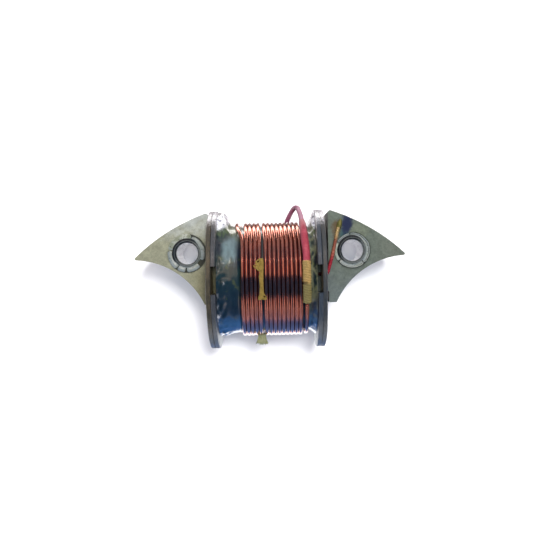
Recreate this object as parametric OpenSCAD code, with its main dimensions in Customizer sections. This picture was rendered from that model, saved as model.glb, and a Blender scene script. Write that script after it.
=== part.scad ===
// Stator source coil for a flywheel magneto: a round winding on a laminated pole shoe.
// The origin is midway between the two screw holes, on the back face of the core.
// +X runs along the two holes, +Y towards the rotor, +Z along the holes to the front.
// The winding turns about a line along X, through the middle of the core's bar.

/* [Core] */
// Distance between the two screw holes
hole_pitch = 40; // [39:0.5:41]
// Number of steel laminations
lamination_count = 14; // [14:1:14]
// Thickness of one lamination
lamination_t = 1; // [0.95:0.01:1]
// Radius of the curved pole faces
pole_r = 47.5; // [47.2:0.1:48]
// Height of the bar that the winding sits on
bar_h = 6.4; // [6:0.1:6.6]
// Distance from the middle of the core to the right ear
ear_inner_x = 14.2; // [14.2:0.1:14.4]
// Distance from the middle of the core to the left ear
left_ear_inner_x = 14.8; // [14.7:0.1:14.9]
// Lowest edge of the ears
ear_bottom_y = -12.5; // [-13:0.1:-12]
// Radius of the hollow lower edge of each ear
under_arc_r = 19.2; // [19:0.1:19.3]
// Rounding of the ear tips
tip_r = 0.35; // [0.3:0.05:0.4]

/* [Eyelets] */
// Radius of the bore for the fixing screw
bore_r = 2.6; // [2.5:0.05:2.7]
// Wall of the eyelet tube
eyelet_wall = 0.5; // [0.4:0.05:0.5]
// Radius of the rolled front flange
flange_r = 4.15; // [4:0.05:4.3]
// Thickness of the rolled front flange
flange_t = 0.35; // [0.3:0.05:0.4]
// Radius of the flush head on the back
head_r = 3.85; // [3.7:0.05:3.95]
// Width of the cracks in the rolled flange
crack_w = 0.22; // [0.15:0.01:0.3]

/* [Cheeks] */
// Radius of the cheek discs
cheek_r = 17.2; // [16.5:0.1:17.6]
// Thickness of one cheek disc
ply_t = 1.05; // [0.95:0.05:1.05]
// Clearance between a cheek's slot and the bar
slot_gap = 0.05; // [0.03:0.01:0.08]
// Gap between the right cheek and the right ear
ear_gap = 1; // [0.96:0.02:1.04]

/* [Winding] */
// Radius over the packing that makes the bar round
packing_r = 7.8; // [7.75:0.05:7.85]
// Wall of the paper tube round the bar
core_paper_t = 0.6; // [0.5:0.05:0.6]
// Layers of wire under the cambric
inner_layers = 4; // [4:1:4]
// Thickness of the paper between two layers
layer_paper_t = 0.08; // [0.06:0.01:0.08]
// Diameter of the winding wire over its enamel
wire_d = 1; // [0.98:0.01:1]
// Thickness of the cambric wrap under the outer layer
cambric_t = 0.44; // [0.4:0.02:0.46]
// Turns in the outer layer
outer_turns = 14; // [13:1:14]
// Outer turns to the left of the tie tape
turns_before_tape = 5; // [4:1:6]
// Distance from one outer turn to the next
outer_pitch = 1.02; // [1.01:0.005:1.03]
// Extra gap between the turns where the tie tape comes out
tape_gap = 0.4; // [0.3:0.05:0.5]
// Place of the first outer turn along X
first_turn_x = -6.5; // [-6.6:0.05:-6.4]

/* [Leads and joints] */
// Diameter of the yellow sleeve over the splice
splice_d = 2.1; // [1.9:0.1:2.2]
// Diameter of the red sleeve on the lead
lead_sleeve_d = 1.85; // [1.7:0.05:1.95]
// Diameter of the insulated lead
lead_d = 1.2; // [1.1:0.05:1.3]
// Diameter of the bare end of the lead
lead_tip_d = 0.7; // [0.6:0.05:0.8]
// Diameter of the earth wire
earth_d = 0.84; // [0.8:0.02:0.86]

/* [Hidden] */
$fn = 72;
wire_fn = 24;

two_digits = function(n) n < 10 ? str("0", n) : str(n);
lamination_name = function(n) str("lamination_", two_digits(n));
paper_name = function(n) str("layer_paper_", n);

// Core outline
hole_x = hole_pitch / 2;
core_t = lamination_count * lamination_t;
bar_y = -6.6;
pole_centre = [0, -35.3];
under_arc_centre = [33.4, -20.6];
eyelet_r = bore_r + eyelet_wall;
ear_corner_r = 0.6;
far = 60;

// Winding and cheeks
axis_y = bar_y;
axis_z = core_t / 2;
left_cheek_x = -left_ear_inner_x;
right_cheek_x = ear_inner_x - ear_gap;
space_x0 = left_cheek_x + 2 * ply_t + 0.05;
space_x1 = right_cheek_x - 2 * ply_t - 0.05;
slot_w = bar_h + 2 * slot_gap;
core_tube_r = packing_r + core_paper_t;
layer_step = wire_d + layer_paper_t;
cambric_r0 = core_tube_r + inner_layers * layer_step;
cambric_r1 = cambric_r0 + cambric_t;
cambric_left_r = cambric_r1 + 0.25;
cambric_right_r = cambric_r1 - 0.25;
outer_wire_r = cambric_r1 + wire_d / 2;
outer_face_r = cambric_r1 + wire_d;
outer_turns_x = [
    for (i = [0:outer_turns - 1])
        first_turn_x + i * outer_pitch + (i < turns_before_tape ? 0 : tape_gap)
];
outer_x0 = outer_turns_x[0] - wire_d / 2;
outer_x1 = outer_turns_x[outer_turns - 1] + wire_d / 2;
inner_turns = floor((space_x1 - space_x0 - 0.02) / wire_d);
inner_mid_x = (space_x0 + space_x1) / 2;
inner_turns_x = [for (i = [0:inner_turns - 1]) inner_mid_x + (i - (inner_turns - 1) / 2) * wire_d];
splice_x = 8.6;
splice_r = cambric_right_r + splice_d / 2;

// The earth wire leaves the first layer through a hole in the outer right disc
earth_exit = [-5.6, 15.9];
earth_hole_r = 0.55;
solder_at = [17.1, 6.7];
solder_r = 1.35;
solder_h = 0.95;

// Route of the red sleeve, from the splice up over the edge of the winding
sleeve_route = [
    [8.6, -2.5, 20.3], [8.6, -1, 20.1], [8.5, 0.6, 19.8], [8.35, 2.1, 19.3],
    [8.2, 3.6, 18.6], [8.1, 5, 17.5], [8, 6.2, 16.2], [7.9, 7.2, 14.7]
];
// Share of the sleeve's diameter at each point of its route
sleeve_taper = [0.96, 0.96, 0.97, 1, 1, 0.97, 0.9, 0.76];

// Route of the lead, from the sleeve over the top and under the winding
lead_route = [
    [7.9, 7.2, 14.7], [7.8, 8, 13.4], [7.7, 8.9, 12], [7.5, 9.8, 10.5], [7.3, 10.6, 8.9],
    [7.1, 11.1, 7.3], [6.7, 11.3, 5.7], [6.2, 11, 4.1], [5.6, 10.2, 2.4], [5, 9.1, 0.7],
    [4.5, 7.9, -1.1], [4.1, 6.6, -3], [3.9, 5, -4.9], [3.7, 3.1, -6.6], [3.5, 1, -8],
    [3.3, -1.3, -9], [3.2, -3.8, -9.5], [3.1, -6.4, -9.6], [3, -9, -9.6], [2.6, -11.6, -9.6],
    [1.5, -13.9, -9.6], [-0.5, -15.3, -9.6], [-2.9, -15, -9.6], [-4.7, -13.4, -9.6],
    [-5.5, -11.1, -9.6], [-5.8, -8.5, -9.6], [-5.8, -5.9, -9.6], [-5.8, -3.3, -9.6]
];
lead_tip_l = 4;

// Route of the earth wire, out of the cheek and up the face of the right ear
earth_z = core_t + 0.44;
earth_route = [
    [11.1, earth_exit[0], earth_exit[1]], [12.4, earth_exit[0], earth_exit[1]],
    [13.2, earth_exit[0], earth_exit[1]], [13.7, -5.4, 15.75], [14, -4.9, 15.35],
    [14.2, -4.3, 14.9], [14.4, -3.7, 14.58], [14.63, -3, earth_z], [15.1, -1.3, earth_z],
    [15.5, 0.4, earth_z], [15.9, 2.2, earth_z], [16.3, 4, earth_z], [16.7, 5.6, earth_z]
];

// Angles of the cracks in each rolled flange
left_cracks = [-30, 76, 170, 235, 268];
right_cracks = [20, 98, 160, 218, 305];

// Point where two circles of radius ra and rb about a and b meet, on the +X side of a
function circles_meet(a, ra, b, rb) =
    let (d = b - a, gap = norm(d), along = (gap * gap + ra * ra - rb * rb) / (2 * gap))
    let (off = sqrt(ra * ra - along * along), u = d / gap)
    a + along * u + off * [-u[1], u[0]];

tip_at = circles_meet(pole_centre, pole_r - tip_r, under_arc_centre, under_arc_r + tip_r);
tip_upper = tip_at + tip_r * (tip_at - pole_centre) / norm(tip_at - pole_centre);
tip_lower = tip_at - tip_r * (tip_at - under_arc_centre) / norm(tip_at - under_arc_centre);

// Middle of the rounding at an ear's upper inner corner
function ear_corner(inner_x) = [
    inner_x + ear_corner_r,
    pole_centre[1] + sqrt(pow(pole_r - ear_corner_r, 2) - pow(inner_x + ear_corner_r, 2))
];

// Unit vector along a route at its point i
function route_dir(route, i) =
    let (a = route[max(i - 1, 0)], b = route[min(i + 1, len(route) - 1)])
    (b - a) / norm(b - a);

// A ring of points about a route's point, square to the route
function route_ring(route, i, r, sides) =
    let (t = route_dir(route, i), side = cross(t, [0.2, 0.1, 1]), u = side / norm(side))
    let (v = cross(t, u))
    [for (k = [0:sides - 1]) route[i] + r * (cos(360 * k / sides) * u + sin(360 * k / sides) * v)];

// A closed tube along a route, with one radius at each point
module route_tube(route, radii, sides = 8) {
    rings = len(route);
    points = [for (i = [0:rings - 1]) each route_ring(route, i, radii[i], sides)];
    walls = [
        for (i = [0:rings - 2], k = [0:sides - 1])
            let (a = i * sides + k, b = i * sides + (k + 1) % sides)
            [a, a + sides, b + sides, b]
    ];
    start = [for (k = [0:sides - 1]) k];
    end = [for (k = [sides - 1:-1:0]) (rings - 1) * sides + k];
    polyhedron(points, concat([start], walls, [end]), convexity = 8);
}

// Puts a shape made about Z on the winding's axis, so that its Z becomes X
module on_axis() {
    translate([0, axis_y, axis_z]) rotate([0, 90, 0]) children();
}

// Sweeps a profile round the winding from angle a0 to a1, counted from +Z towards +Y
module part_turn(a0, a1) {
    on_axis() rotate([0, 0, 180 - a1]) rotate_extrude(angle = a1 - a0) children();
}

module sleeve(r0, r1, x0, x1) {
    on_axis() translate([0, 0, x0]) difference() {
        cylinder(r = r1, h = x1 - x0);
        translate([0, 0, -1]) cylinder(r = r0, h = x1 - x0 + 2);
    }
}

// The 2D outline of one layer of wire: eight-sided turns side by side, joined through the middle
module layer_profile(r_mid, d, turns_x) {
    turn_fn = 8;
    half_side = 180 / turn_fn;
    first_x = turns_x[0];
    last_x = turns_x[len(turns_x) - 1];
    translate([r_mid - d * 0.2, first_x]) square([d * 0.4, last_x - first_x]);
    for (x = turns_x)
        translate([r_mid, x]) rotate(half_side) circle(d = d / cos(half_side), $fn = turn_fn);
}

// One ear's outline, on the +X side
module ear_outline(inner_x) {
    corner = ear_corner(inner_x);
    difference() {
        intersection() {
            translate(pole_centre) circle(r = pole_r, $fn = 180);
            translate([inner_x, ear_bottom_y]) square([far, far]);
        }
        translate(under_arc_centre) circle(r = under_arc_r, $fn = 120);
        polygon([tip_lower, tip_upper, tip_upper + [far, far], tip_lower + [far, -far]]);
        translate([inner_x - 1, corner[1]]) square([1 + ear_corner_r, far]);
    }
    translate(tip_at) circle(r = tip_r);
    translate(corner) circle(r = ear_corner_r);
}

module core_outline(hole_r) {
    difference() {
        union() {
            ear_outline(ear_inner_x);
            mirror([1, 0]) ear_outline(left_ear_inner_x);
            translate([-left_ear_inner_x - 1, bar_y - bar_h / 2])
                square([left_ear_inner_x + ear_inner_x + 2, bar_h]);
        }
        for (side = [-1, 1]) translate([side * hole_x, 0]) circle(r = hole_r);
    }
}

// Laminations are counted from the back; the first one also takes the eyelets' heads
module lamination(n) {
    color("darkkhaki") translate([0, 0, (n - 1) * lamination_t])
        linear_extrude(lamination_t) core_outline(n == 1 ? head_r : eyelet_r);
}

// A tubular rivet: a flush head behind, a rolled and cracked flange in front
module eyelet(side, cracks) {
    lip_r = eyelet_wall;
    bead_r = 0.25;
    color("slategray") translate([side * hole_x, 0, 0]) difference() {
        rotate_extrude() {
            translate([bore_r, 0]) square([eyelet_wall, core_t]);
            translate([bore_r, 0]) square([head_r - bore_r, lamination_t]);
            translate([bore_r, core_t]) square([flange_r - bore_r - bead_r, flange_t]);
            intersection() {
                translate([bore_r + lip_r, core_t + 0.1]) circle(r = lip_r, $fn = 32);
                translate([bore_r, core_t]) square([2 * lip_r, 2 * lip_r]);
            }
            intersection() {
                translate([flange_r - bead_r, core_t + bead_r]) circle(r = bead_r, $fn = 32);
                translate([bore_r, core_t]) square([flange_r, 2 * bead_r]);
            }
        }
        for (a = cracks) rotate([0, 0, a])
            translate([bore_r + 2 * lip_r, -crack_w / 2, core_t - 0.01]) cube([3, crack_w, 1]);
    }
}

// A cheek disc with a slot for the bar, open to the front (way = 1) or to the back (way = -1)
module cheek_disc(x0, way) {
    slot_start = core_t / 2 + slot_gap;
    translate([x0, axis_y, axis_z]) rotate([90, 0, 90]) linear_extrude(ply_t) difference() {
        circle(r = cheek_r, $fn = 120);
        translate([-slot_w / 2, way > 0 ? -slot_start : -far])
            square([slot_w, far + slot_start]);
    }
}

module cheek_left_outer() {
    color("olivedrab") cheek_disc(left_cheek_x, -1);
}

module cheek_left_inner() {
    color("thistle") cheek_disc(left_cheek_x + ply_t, 1);
}

module cheek_right_inner() {
    color("thistle") cheek_disc(right_cheek_x - 2 * ply_t, 1);
}

module cheek_right_outer() {
    color("olivedrab") difference() {
        cheek_disc(right_cheek_x - ply_t, -1);
        translate([right_cheek_x - ply_t - 1, earth_exit[0], earth_exit[1]])
            rotate([0, 90, 0]) cylinder(r = earth_hole_r, h = ply_t + 2, $fn = 32);
    }
}

// Half-round packing that lies on a flat side of the bar, above (side = 1) or below it
module core_packing(side) {
    color("burlywood") translate([space_x0, axis_y, axis_z]) rotate([90, 0, 90])
        linear_extrude(space_x1 - space_x0) intersection() {
            circle(r = packing_r - 0.01);
            translate([side > 0 ? bar_h / 2 + 0.01 : -far - bar_h / 2 - 0.01, -far / 2])
                square([far, far]);
        }
}

module core_insulation() {
    color("tan") sleeve(packing_r, core_tube_r - 0.01, space_x0, space_x1);
}

module inner_winding() {
    color("saddlebrown") on_axis() for (layer = [0:inner_layers - 1])
        rotate_extrude() layer_profile(
            core_tube_r + wire_d / 2 + layer * layer_step, wire_d - 0.01, inner_turns_x
        );
}

module layer_paper(n) {
    r = core_tube_r + n * layer_step - layer_paper_t;
    color("wheat") sleeve(r, r + layer_paper_t - 0.01, space_x0, space_x1);
}

// Varnished cambric over the inner layers, pressed flat under the outer one
module cambric_wrap() {
    flare = 0.9;
    left = cambric_left_r;
    right = cambric_right_r;
    under = cambric_r1 - 0.01;
    color("darkslategray") on_axis() rotate_extrude() polygon([
        [cambric_r0, space_x0], [left + flare, space_x0], [left + flare * 0.4, space_x0 + 0.9],
        [left, space_x0 + 2.4], [left, outer_x0 - 0.5], [under, outer_x0 - 0.1],
        [under, outer_x1 - 0.1], [right, outer_x1 + 0.2], [right, space_x1 - 1.5],
        [right + flare * 0.5, space_x1 - 0.6], [right + 1.5 * flare, space_x1],
        [cambric_r0, space_x1]
    ]);
}

// The outer layer, with the end of its wire running on beside it to the splice
module outer_winding() {
    end_r = cambric_right_r + wire_d / 2;
    color("sienna") {
        on_axis() rotate_extrude() layer_profile(outer_wire_r, wire_d, outer_turns_x);
        part_turn(-112, -24) translate([end_r, splice_x]) circle(d = wire_d - 0.02, $fn = wire_fn);
    }
}

// Cotton tape glued over the outer layer, with its tail below
module tie_tape() {
    r0 = outer_face_r + 0.01;
    tape_t = 0.3;
    color("goldenrod") {
        part_turn(-20, 20.5) translate([r0, -2.6]) square([tape_t, 1.05]);
        part_turn(9, 20.5) translate([r0, -3.5]) square([tape_t, 2.05]);
        part_turn(-20, -16) translate([r0, -2.9]) square([tape_t, 2.2]);
        translate([-3.4, -23.6, 8]) cube([2.8, 2.8, tape_t]);
    }
}

// Woven sleeve over the joint between the winding's end and the lead
module splice_sleeve() {
    color("gold") part_turn(-23, 16.9) translate([splice_r, splice_x]) circle(d = splice_d, $fn = 32);
}

module lead_sleeve() {
    color("firebrick")
        route_tube(sleeve_route, [for (k = sleeve_taper) k * lead_sleeve_d / 2], 10);
}

module lead_wire() {
    color("indianred") route_tube(lead_route, [for (p = lead_route) lead_d / 2]);
}

// The bare end goes straight on from the lead
module lead_tip() {
    last = lead_route[len(lead_route) - 1];
    color("silver") translate(last) rotate([-90, 0, 0])
        cylinder(d = lead_tip_d, h = lead_tip_l, $fn = wire_fn);
}

module earth_lead() {
    color("brown") route_tube(earth_route, [for (p = earth_route) earth_d / 2]);
}

// A flat dome of solder that the earth wire runs into
module solder_joint() {
    ball_r = (solder_r * solder_r + solder_h * solder_h) / (2 * solder_h);
    wire_end = earth_route[len(earth_route) - 1];
    wire_from = earth_route[len(earth_route) - 2];
    lean = atan2(wire_end[1] - wire_from[1], wire_end[0] - wire_from[0]);
    color("lightgray") difference() {
        intersection() {
            translate([solder_at[0], solder_at[1], core_t + solder_h - ball_r]) sphere(r = ball_r);
            translate([solder_at[0] - 3, solder_at[1] - 3, core_t]) cube([6, 6, 2]);
        }
        translate([wire_end[0], wire_end[1], earth_z]) rotate([0, 90, lean])
            translate([0, 0, -3]) cylinder(d = earth_d + 0.02, h = 3.01, $fn = wire_fn);
    }
}

for (n = [1:lamination_count])
    lamination(n);
eyelet(-1, left_cracks);  // eyelet_left
eyelet(1, right_cracks);  // eyelet_right
cheek_left_outer();
cheek_left_inner();
cheek_right_inner();
cheek_right_outer();
core_packing(1);  // core_packing_upper
core_packing(-1);  // core_packing_lower
core_insulation();
inner_winding();
for (n = [1:inner_layers - 1])
    layer_paper(n);
cambric_wrap();
outer_winding();
tie_tape();
splice_sleeve();
lead_sleeve();
lead_wire();
lead_tip();
earth_lead();
solder_joint();
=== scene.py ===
import math
import random

import bmesh
import bpy
from bpy.props import FloatProperty, FloatVectorProperty, IntProperty, PointerProperty
from bpy.types import Operator, Panel, PropertyGroup
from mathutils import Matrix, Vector, noise


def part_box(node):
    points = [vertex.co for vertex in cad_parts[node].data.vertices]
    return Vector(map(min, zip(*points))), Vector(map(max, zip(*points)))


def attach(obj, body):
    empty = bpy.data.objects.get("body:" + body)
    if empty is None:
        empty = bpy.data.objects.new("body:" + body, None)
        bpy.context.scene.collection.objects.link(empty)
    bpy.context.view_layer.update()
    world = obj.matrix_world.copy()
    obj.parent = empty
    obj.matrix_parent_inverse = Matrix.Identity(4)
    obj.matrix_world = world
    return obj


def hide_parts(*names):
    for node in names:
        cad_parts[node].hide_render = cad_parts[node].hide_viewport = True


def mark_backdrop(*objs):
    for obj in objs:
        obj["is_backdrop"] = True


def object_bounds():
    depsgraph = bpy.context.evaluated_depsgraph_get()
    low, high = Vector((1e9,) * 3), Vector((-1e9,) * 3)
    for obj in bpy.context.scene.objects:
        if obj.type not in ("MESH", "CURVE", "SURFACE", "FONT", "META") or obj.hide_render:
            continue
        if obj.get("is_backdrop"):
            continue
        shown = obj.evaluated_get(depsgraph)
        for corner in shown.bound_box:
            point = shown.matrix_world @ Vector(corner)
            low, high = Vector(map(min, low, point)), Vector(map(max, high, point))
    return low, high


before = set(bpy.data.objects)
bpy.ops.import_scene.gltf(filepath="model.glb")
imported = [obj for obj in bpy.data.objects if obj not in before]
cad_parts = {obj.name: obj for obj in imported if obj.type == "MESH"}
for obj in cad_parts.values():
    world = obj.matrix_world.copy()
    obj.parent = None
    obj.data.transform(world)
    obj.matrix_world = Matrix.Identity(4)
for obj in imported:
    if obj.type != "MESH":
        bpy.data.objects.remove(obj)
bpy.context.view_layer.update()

bl_info = {
    "name": "Stator Source Coil",
    "version": (1, 0, 0),
    "blender": (4, 5, 0),
    "location": "View3D > Sidebar > Coil",
    "description": "Finishes a flywheel magneto's source coil: core, cheeks, windings and leads",
    "category": "Object",
}

MM = 0.001
BODY = "root"
LAMINATIONS = 14
TAU = math.tau


# ---------------------------------------------------------------- places from the frame

def middle(node):
    """The middle of a CAD node's box."""
    low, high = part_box(node)
    return (low + high) / 2


FACE_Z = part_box("lamination_14")[1].z
AXIS = middle("core_insulation")
OUTER_FACE_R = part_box("outer_winding")[1].z - AXIS.z
HOLE_X = middle("eyelet_right").x


def on_winding(x, radius, angle):
    """A point round the winding's axis; the angle in degrees runs from the front over the top edge."""
    turn = math.radians(angle)
    return Vector((x, AXIS.y + radius * math.sin(turn), AXIS.z + radius * math.cos(turn)))


# ---------------------------------------------------------------- small sums

def display(red, green, blue):
    """A colour as a screen shows it, 0 to 255, as the linear values that Blender takes."""
    def linear(part):
        share = part / 255
        return share / 12.92 if share <= 0.04045 else ((share + 0.055) / 1.055) ** 2.4
    return (linear(red), linear(green), linear(blue))


def ease(value, start, end):
    """0 before start, 1 after end, and a smooth step between."""
    share = min(max((value - start) / (end - start), 0), 1)
    return share * share * (3 - 2 * share)


def hump(value, centre, width):
    """1 at the centre, fading out smoothly over the width."""
    return math.exp(-((value - centre) / width) ** 2)


def wander(seed, *place):
    """Smooth noise from -1 to 1 at a place of up to two numbers."""
    spot = list(place) + [0.0] * (2 - len(place))
    return noise.noise(Vector((spot[0], spot[1], seed * 7.31)))


def along_points(points, value):
    """A value read off a list of (place, value) pairs, with smooth steps between them."""
    for (a, first), (b, second) in zip(points, points[1:]):
        if value <= b:
            return first + (second - first) * ease(value, a, b)
    return points[-1][1]


def smooth_route(points, steps=6):
    """A smooth curve through the points of a route, all in millimetres, returned in metres."""
    spots = [Vector(p) * MM for p in points]
    line = []
    for i in range(len(spots) - 1):
        before = spots[max(i - 1, 0)]
        here, there = spots[i], spots[i + 1]
        after = spots[min(i + 2, len(spots) - 1)]
        for step in range(steps):
            t = step / steps
            line.append(0.5 * (
                2 * here + (there - before) * t
                + (2 * before - 5 * here + 4 * there - after) * t * t
                + (3 * here - before - 3 * there + after) * t * t * t
            ))
    line.append(spots[-1])
    return line


def frames_along(path, up=Vector((0.2, 0.1, 1))):
    """At each point of a path: the point, the way along, and two ways square to it that don't twist."""
    frames = []
    side = up
    for i, point in enumerate(path):
        ahead = (path[min(i + 1, len(path) - 1)] - path[max(i - 1, 0)]).normalized()
        side = (side - ahead * side.dot(ahead)).normalized()
        frames.append((point, ahead, side, ahead.cross(side)))
    return frames


# ---------------------------------------------------------------- meshes

class Shape:
    """Points and faces of one piece, gathered part by part."""

    def __init__(self):
        self.points = []
        self.faces = []
        self.finish_of = []

    def add(self, points, faces, finish=0):
        """Adds points, and faces that count from the first of them."""
        start = len(self.points)
        self.points += points
        self.faces += [[start + k for k in face] for face in faces]
        self.finish_of += [finish] * len(faces)

    def cap(self, corners, finish=0):
        """Adds one face over points that are there already."""
        self.faces.append(list(corners))
        self.finish_of.append(finish)

    def grid(self, rows, finish=0, closed=False, looped=False, skip=None):
        """A sheet of rows of points; closed joins each row's ends, looped the last row to the first."""
        width = len(rows[0])
        faces = []
        for i in range(len(rows) if looped else len(rows) - 1):
            for k in range(width if closed else width - 1):
                if skip and skip(i, k):
                    continue
                j, n = (i + 1) % len(rows), (k + 1) % width
                faces.append([i * width + k, i * width + n, j * width + n, j * width + k])
        self.add([p for row in rows for p in row], faces, finish)

    def tube(self, path, radius, sides=10, finish=0):
        """A rod with closed ends along a path; radius(share, turn) gives its radius."""
        frames = frames_along(path)
        rows = []
        for i, (point, _, side, up) in enumerate(frames):
            share = i / (len(frames) - 1)
            row = []
            for k in range(sides):
                turn = TAU * k / sides
                r = radius(share, turn)
                row.append(point + side * (r * math.cos(turn)) + up * (r * math.sin(turn)))
            rows.append(row)
        start = len(self.points)
        self.grid(rows, finish, closed=True)
        last = start + (len(rows) - 1) * sides
        self.cap([start + k for k in reversed(range(sides))], finish)
        self.cap([last + k for k in range(sides)], finish)

    def build(self, name, finishes, slot, replaced=()):
        """Makes the object, lets it ride on the body and hides the nodes it stands for."""
        mesh = bpy.data.meshes.new(name)
        mesh.from_pydata([tuple(p) for p in self.points], [], self.faces)
        for finish in finishes:
            mesh.materials.append(finish)
        mesh.polygons.foreach_set("material_index", self.finish_of)
        mesh.polygons.foreach_set("use_smooth", [True] * len(self.faces))
        mesh.update()
        tidy = bmesh.new()
        tidy.from_mesh(mesh)
        bmesh.ops.recalc_face_normals(tidy, faces=tidy.faces)
        tidy.to_mesh(mesh)
        tidy.free()
        return place(bpy.data.objects.new(name, mesh), slot, replaced)


def place(obj, slot, replaced=()):
    """Ties a piece, in place already, to the body and hides the nodes it stands for; its material slot
    is not used.
    """
    if obj.name not in bpy.context.scene.collection.objects:
        bpy.context.scene.collection.objects.link(obj)
    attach(obj, BODY)
    if replaced:
        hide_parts(*replaced)
    return obj


def modifier(obj, kind, **settings):
    """Adds a modifier with its settings."""
    made = obj.modifiers.new(kind.title(), kind)
    for key, value in settings.items():
        setattr(made, key, value)
    return made


# ---------------------------------------------------------------- shader maths

class Signal:
    """A shader node's output. Sums written with it add Math nodes."""

    def __init__(self, graph, socket):
        self.graph = graph
        self.socket = socket

    def math(self, operation, first, second=0.0):
        """Adds one Math node."""
        return self.graph.node("Math", {"operation": operation}, {0: first, 1: second})

    def __add__(self, other):
        return self.math("ADD", self, other)

    def __radd__(self, other):
        return self.math("ADD", other, self)

    def __sub__(self, other):
        return self.math("SUBTRACT", self, other)

    def __rsub__(self, other):
        return self.math("SUBTRACT", other, self)

    def __mul__(self, other):
        return self.math("MULTIPLY", self, other)

    def __rmul__(self, other):
        return self.math("MULTIPLY", other, self)

    def __truediv__(self, other):
        return self.math("DIVIDE", self, other)

    def __rtruediv__(self, other):
        return self.math("DIVIDE", other, self)

    def __pow__(self, other):
        return self.math("POWER", self, other)

    def __rpow__(self, other):
        return self.math("POWER", other, self)

    def __abs__(self):
        return self.math("ABSOLUTE", self)

    def at_least(self, other):
        return self.math("MAXIMUM", self, other)

    def sine(self):
        return self.math("SINE", self)

    def whole(self):
        return self.math("FLOOR", self)


class Graph:
    """A node tree of a material or of the sky, whose nodes are all made by one method."""

    def __init__(self, owner):
        owner.use_nodes = True
        self.tree = owner.node_tree
        self.tree.nodes.clear()

    def node(self, kind, settings=None, inputs=None, output=0):
        """Adds a node: its settings first, then its sockets' values or links."""
        made = self.tree.nodes.new("ShaderNode" + kind)
        for key, value in (settings or {}).items():
            setattr(made, key, value)
        for key, value in (inputs or {}).items():
            socket = made.inputs[key]
            if isinstance(value, Signal):
                self.tree.links.new(value.socket, socket)
            elif socket.type == "RGBA" and len(value) == 3:
                socket.default_value = (*value, 1)
            else:
                socket.default_value = value
        return Signal(self, made.outputs[output]) if made.outputs else None

    def split(self, vector):
        """A vector's three values."""
        node = self.node("SeparateXYZ", None, {0: vector}).socket.node
        return [Signal(self, socket) for socket in node.outputs]

    def join(self, x, y, z):
        """A vector of three values."""
        return self.node("CombineXYZ", None, {0: x, 1: y, 2: z})

    def step(self, value, start, end, low=0.0, high=1.0):
        """A smooth step of a value, from low before start to high after end."""
        return self.node("MapRange", {"interpolation_type": "SMOOTHSTEP"}, {
            "Value": value, "From Min": start, "From Max": end, "To Min": low, "To Max": high,
        })

    def mix(self, share, first, second, way="MIX"):
        """Mixes two colours."""
        return self.node(
            "Mix", {"data_type": "RGBA", "blend_type": way}, {0: share, 6: first, 7: second}, output=2
        )


class Finish(Graph):
    """One procedural material, worked out in millimetres of the part's own frame."""

    def __init__(self, name):
        self.material = bpy.data.materials.new(name)
        super().__init__(self.material)
        place_in_part = self.node("TexCoord", output="Object")
        self.spot = self.node("VectorMath", {"operation": "SCALE"}, {0: place_in_part, "Scale": 1000.0})
        self.x, self.y, self.z = self.split(self.spot)

    def facing(self):
        """The surface's own direction, as three values."""
        return self.split(self.node("TexCoord", output="Normal"))

    def polar(self, centre_y, centre_z):
        """Distance from a line along X and the angle round it, from +Z towards +Y."""
        dy, dz = self.y - centre_y / MM, self.z - centre_z / MM
        return (dy * dy + dz * dz) ** 0.5, self.node("Math", {"operation": "ARCTAN2"}, {0: dy, 1: dz})

    def beside_hole(self):
        """The place along X, counted from the nearer hole's axis."""
        return self.x - self.node("Math", {"operation": "SIGN"}, {0: self.x}) * (HOLE_X / MM)

    def from_hole(self):
        """Distance from the nearer hole's axis, which runs along Z."""
        dx = self.beside_hole()
        return (dx * dx + self.y * self.y) ** 0.5

    def blot(self, x, y, wide, tall, slant=0.0):
        """Squared distance from a blot's middle on the front, in shares of its half width and height."""
        dy = self.y - y
        dx, dy = (self.x - x - dy * slant) / wide, dy / tall
        return dx * dx + dy * dy

    def noise(self, scale, detail=3.0, rough=0.55, stretch=(1, 1, 1), warp=0.0):
        """Noise from about 0.2 to 0.8 with scale features in a millimetre."""
        placed = self.node("VectorMath", {"operation": "MULTIPLY"}, {0: self.spot, 1: stretch})
        return self.node("TexNoise", None, {
            "Vector": placed, "Scale": scale, "Detail": detail, "Roughness": rough, "Distortion": warp,
        })

    def relief(self, height, depth, strength):
        """A bump of a height from 0 to 1, so many millimetres deep."""
        return self.node("Bump", None, {"Height": height, "Distance": depth * MM, "Strength": strength})

    def surface(self, **sockets):
        """Ends in one principled shader; names are its sockets' own, with _ for a space."""
        inputs = {key.replace("_", " "): value for key, value in sockets.items()}
        shader = self.node("BsdfPrincipled", None, inputs)
        self.node("OutputMaterial", None, {"Surface": shader})
        return self.material


# ---------------------------------------------------------------- sizes and colours

class StageSettings(PropertyGroup):
    """Lights and floor"""
    key_level: FloatProperty(
        name="Key", description="Brightness of the light that throws the shadow", default=80, min=0)
    fill_level: FloatProperty(
        name="Fill", description="Brightness of the wide light overhead", default=0.65, min=0)
    front_level: FloatProperty(
        name="Front", description="Brightness of the light beside the camera", default=24, min=0)
    side_level: FloatProperty(
        name="Side screens", description="Brightness of the two warm screens in front",
        default=1.3, min=0)
    white_level: FloatProperty(
        name="White card", description="Brightness of the card mirrored in the coil's top edge",
        default=6.0, min=0)
    dim_level: FloatProperty(
        name="Dim card", description="Brightness of the card mirrored just below the top edge",
        default=0.4, min=0)
    blue_level: FloatProperty(
        name="Blue card", description="Brightness of the card mirrored in the coil's lower edge",
        default=1.1, min=0)
    rim_level: FloatProperty(
        name="Rim card", description="Brightness of the card mirrored along the lower edge's rim",
        default=1.2, min=0)
    sky_level: FloatProperty(
        name="Sky level", description="Brightness of the sky", default=0.8, min=0)
    floor_colour: FloatVectorProperty(
        name="Floor", description="Colour of the floor",
        subtype="COLOR", default=display(246, 246, 248), min=0, max=1)


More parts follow.
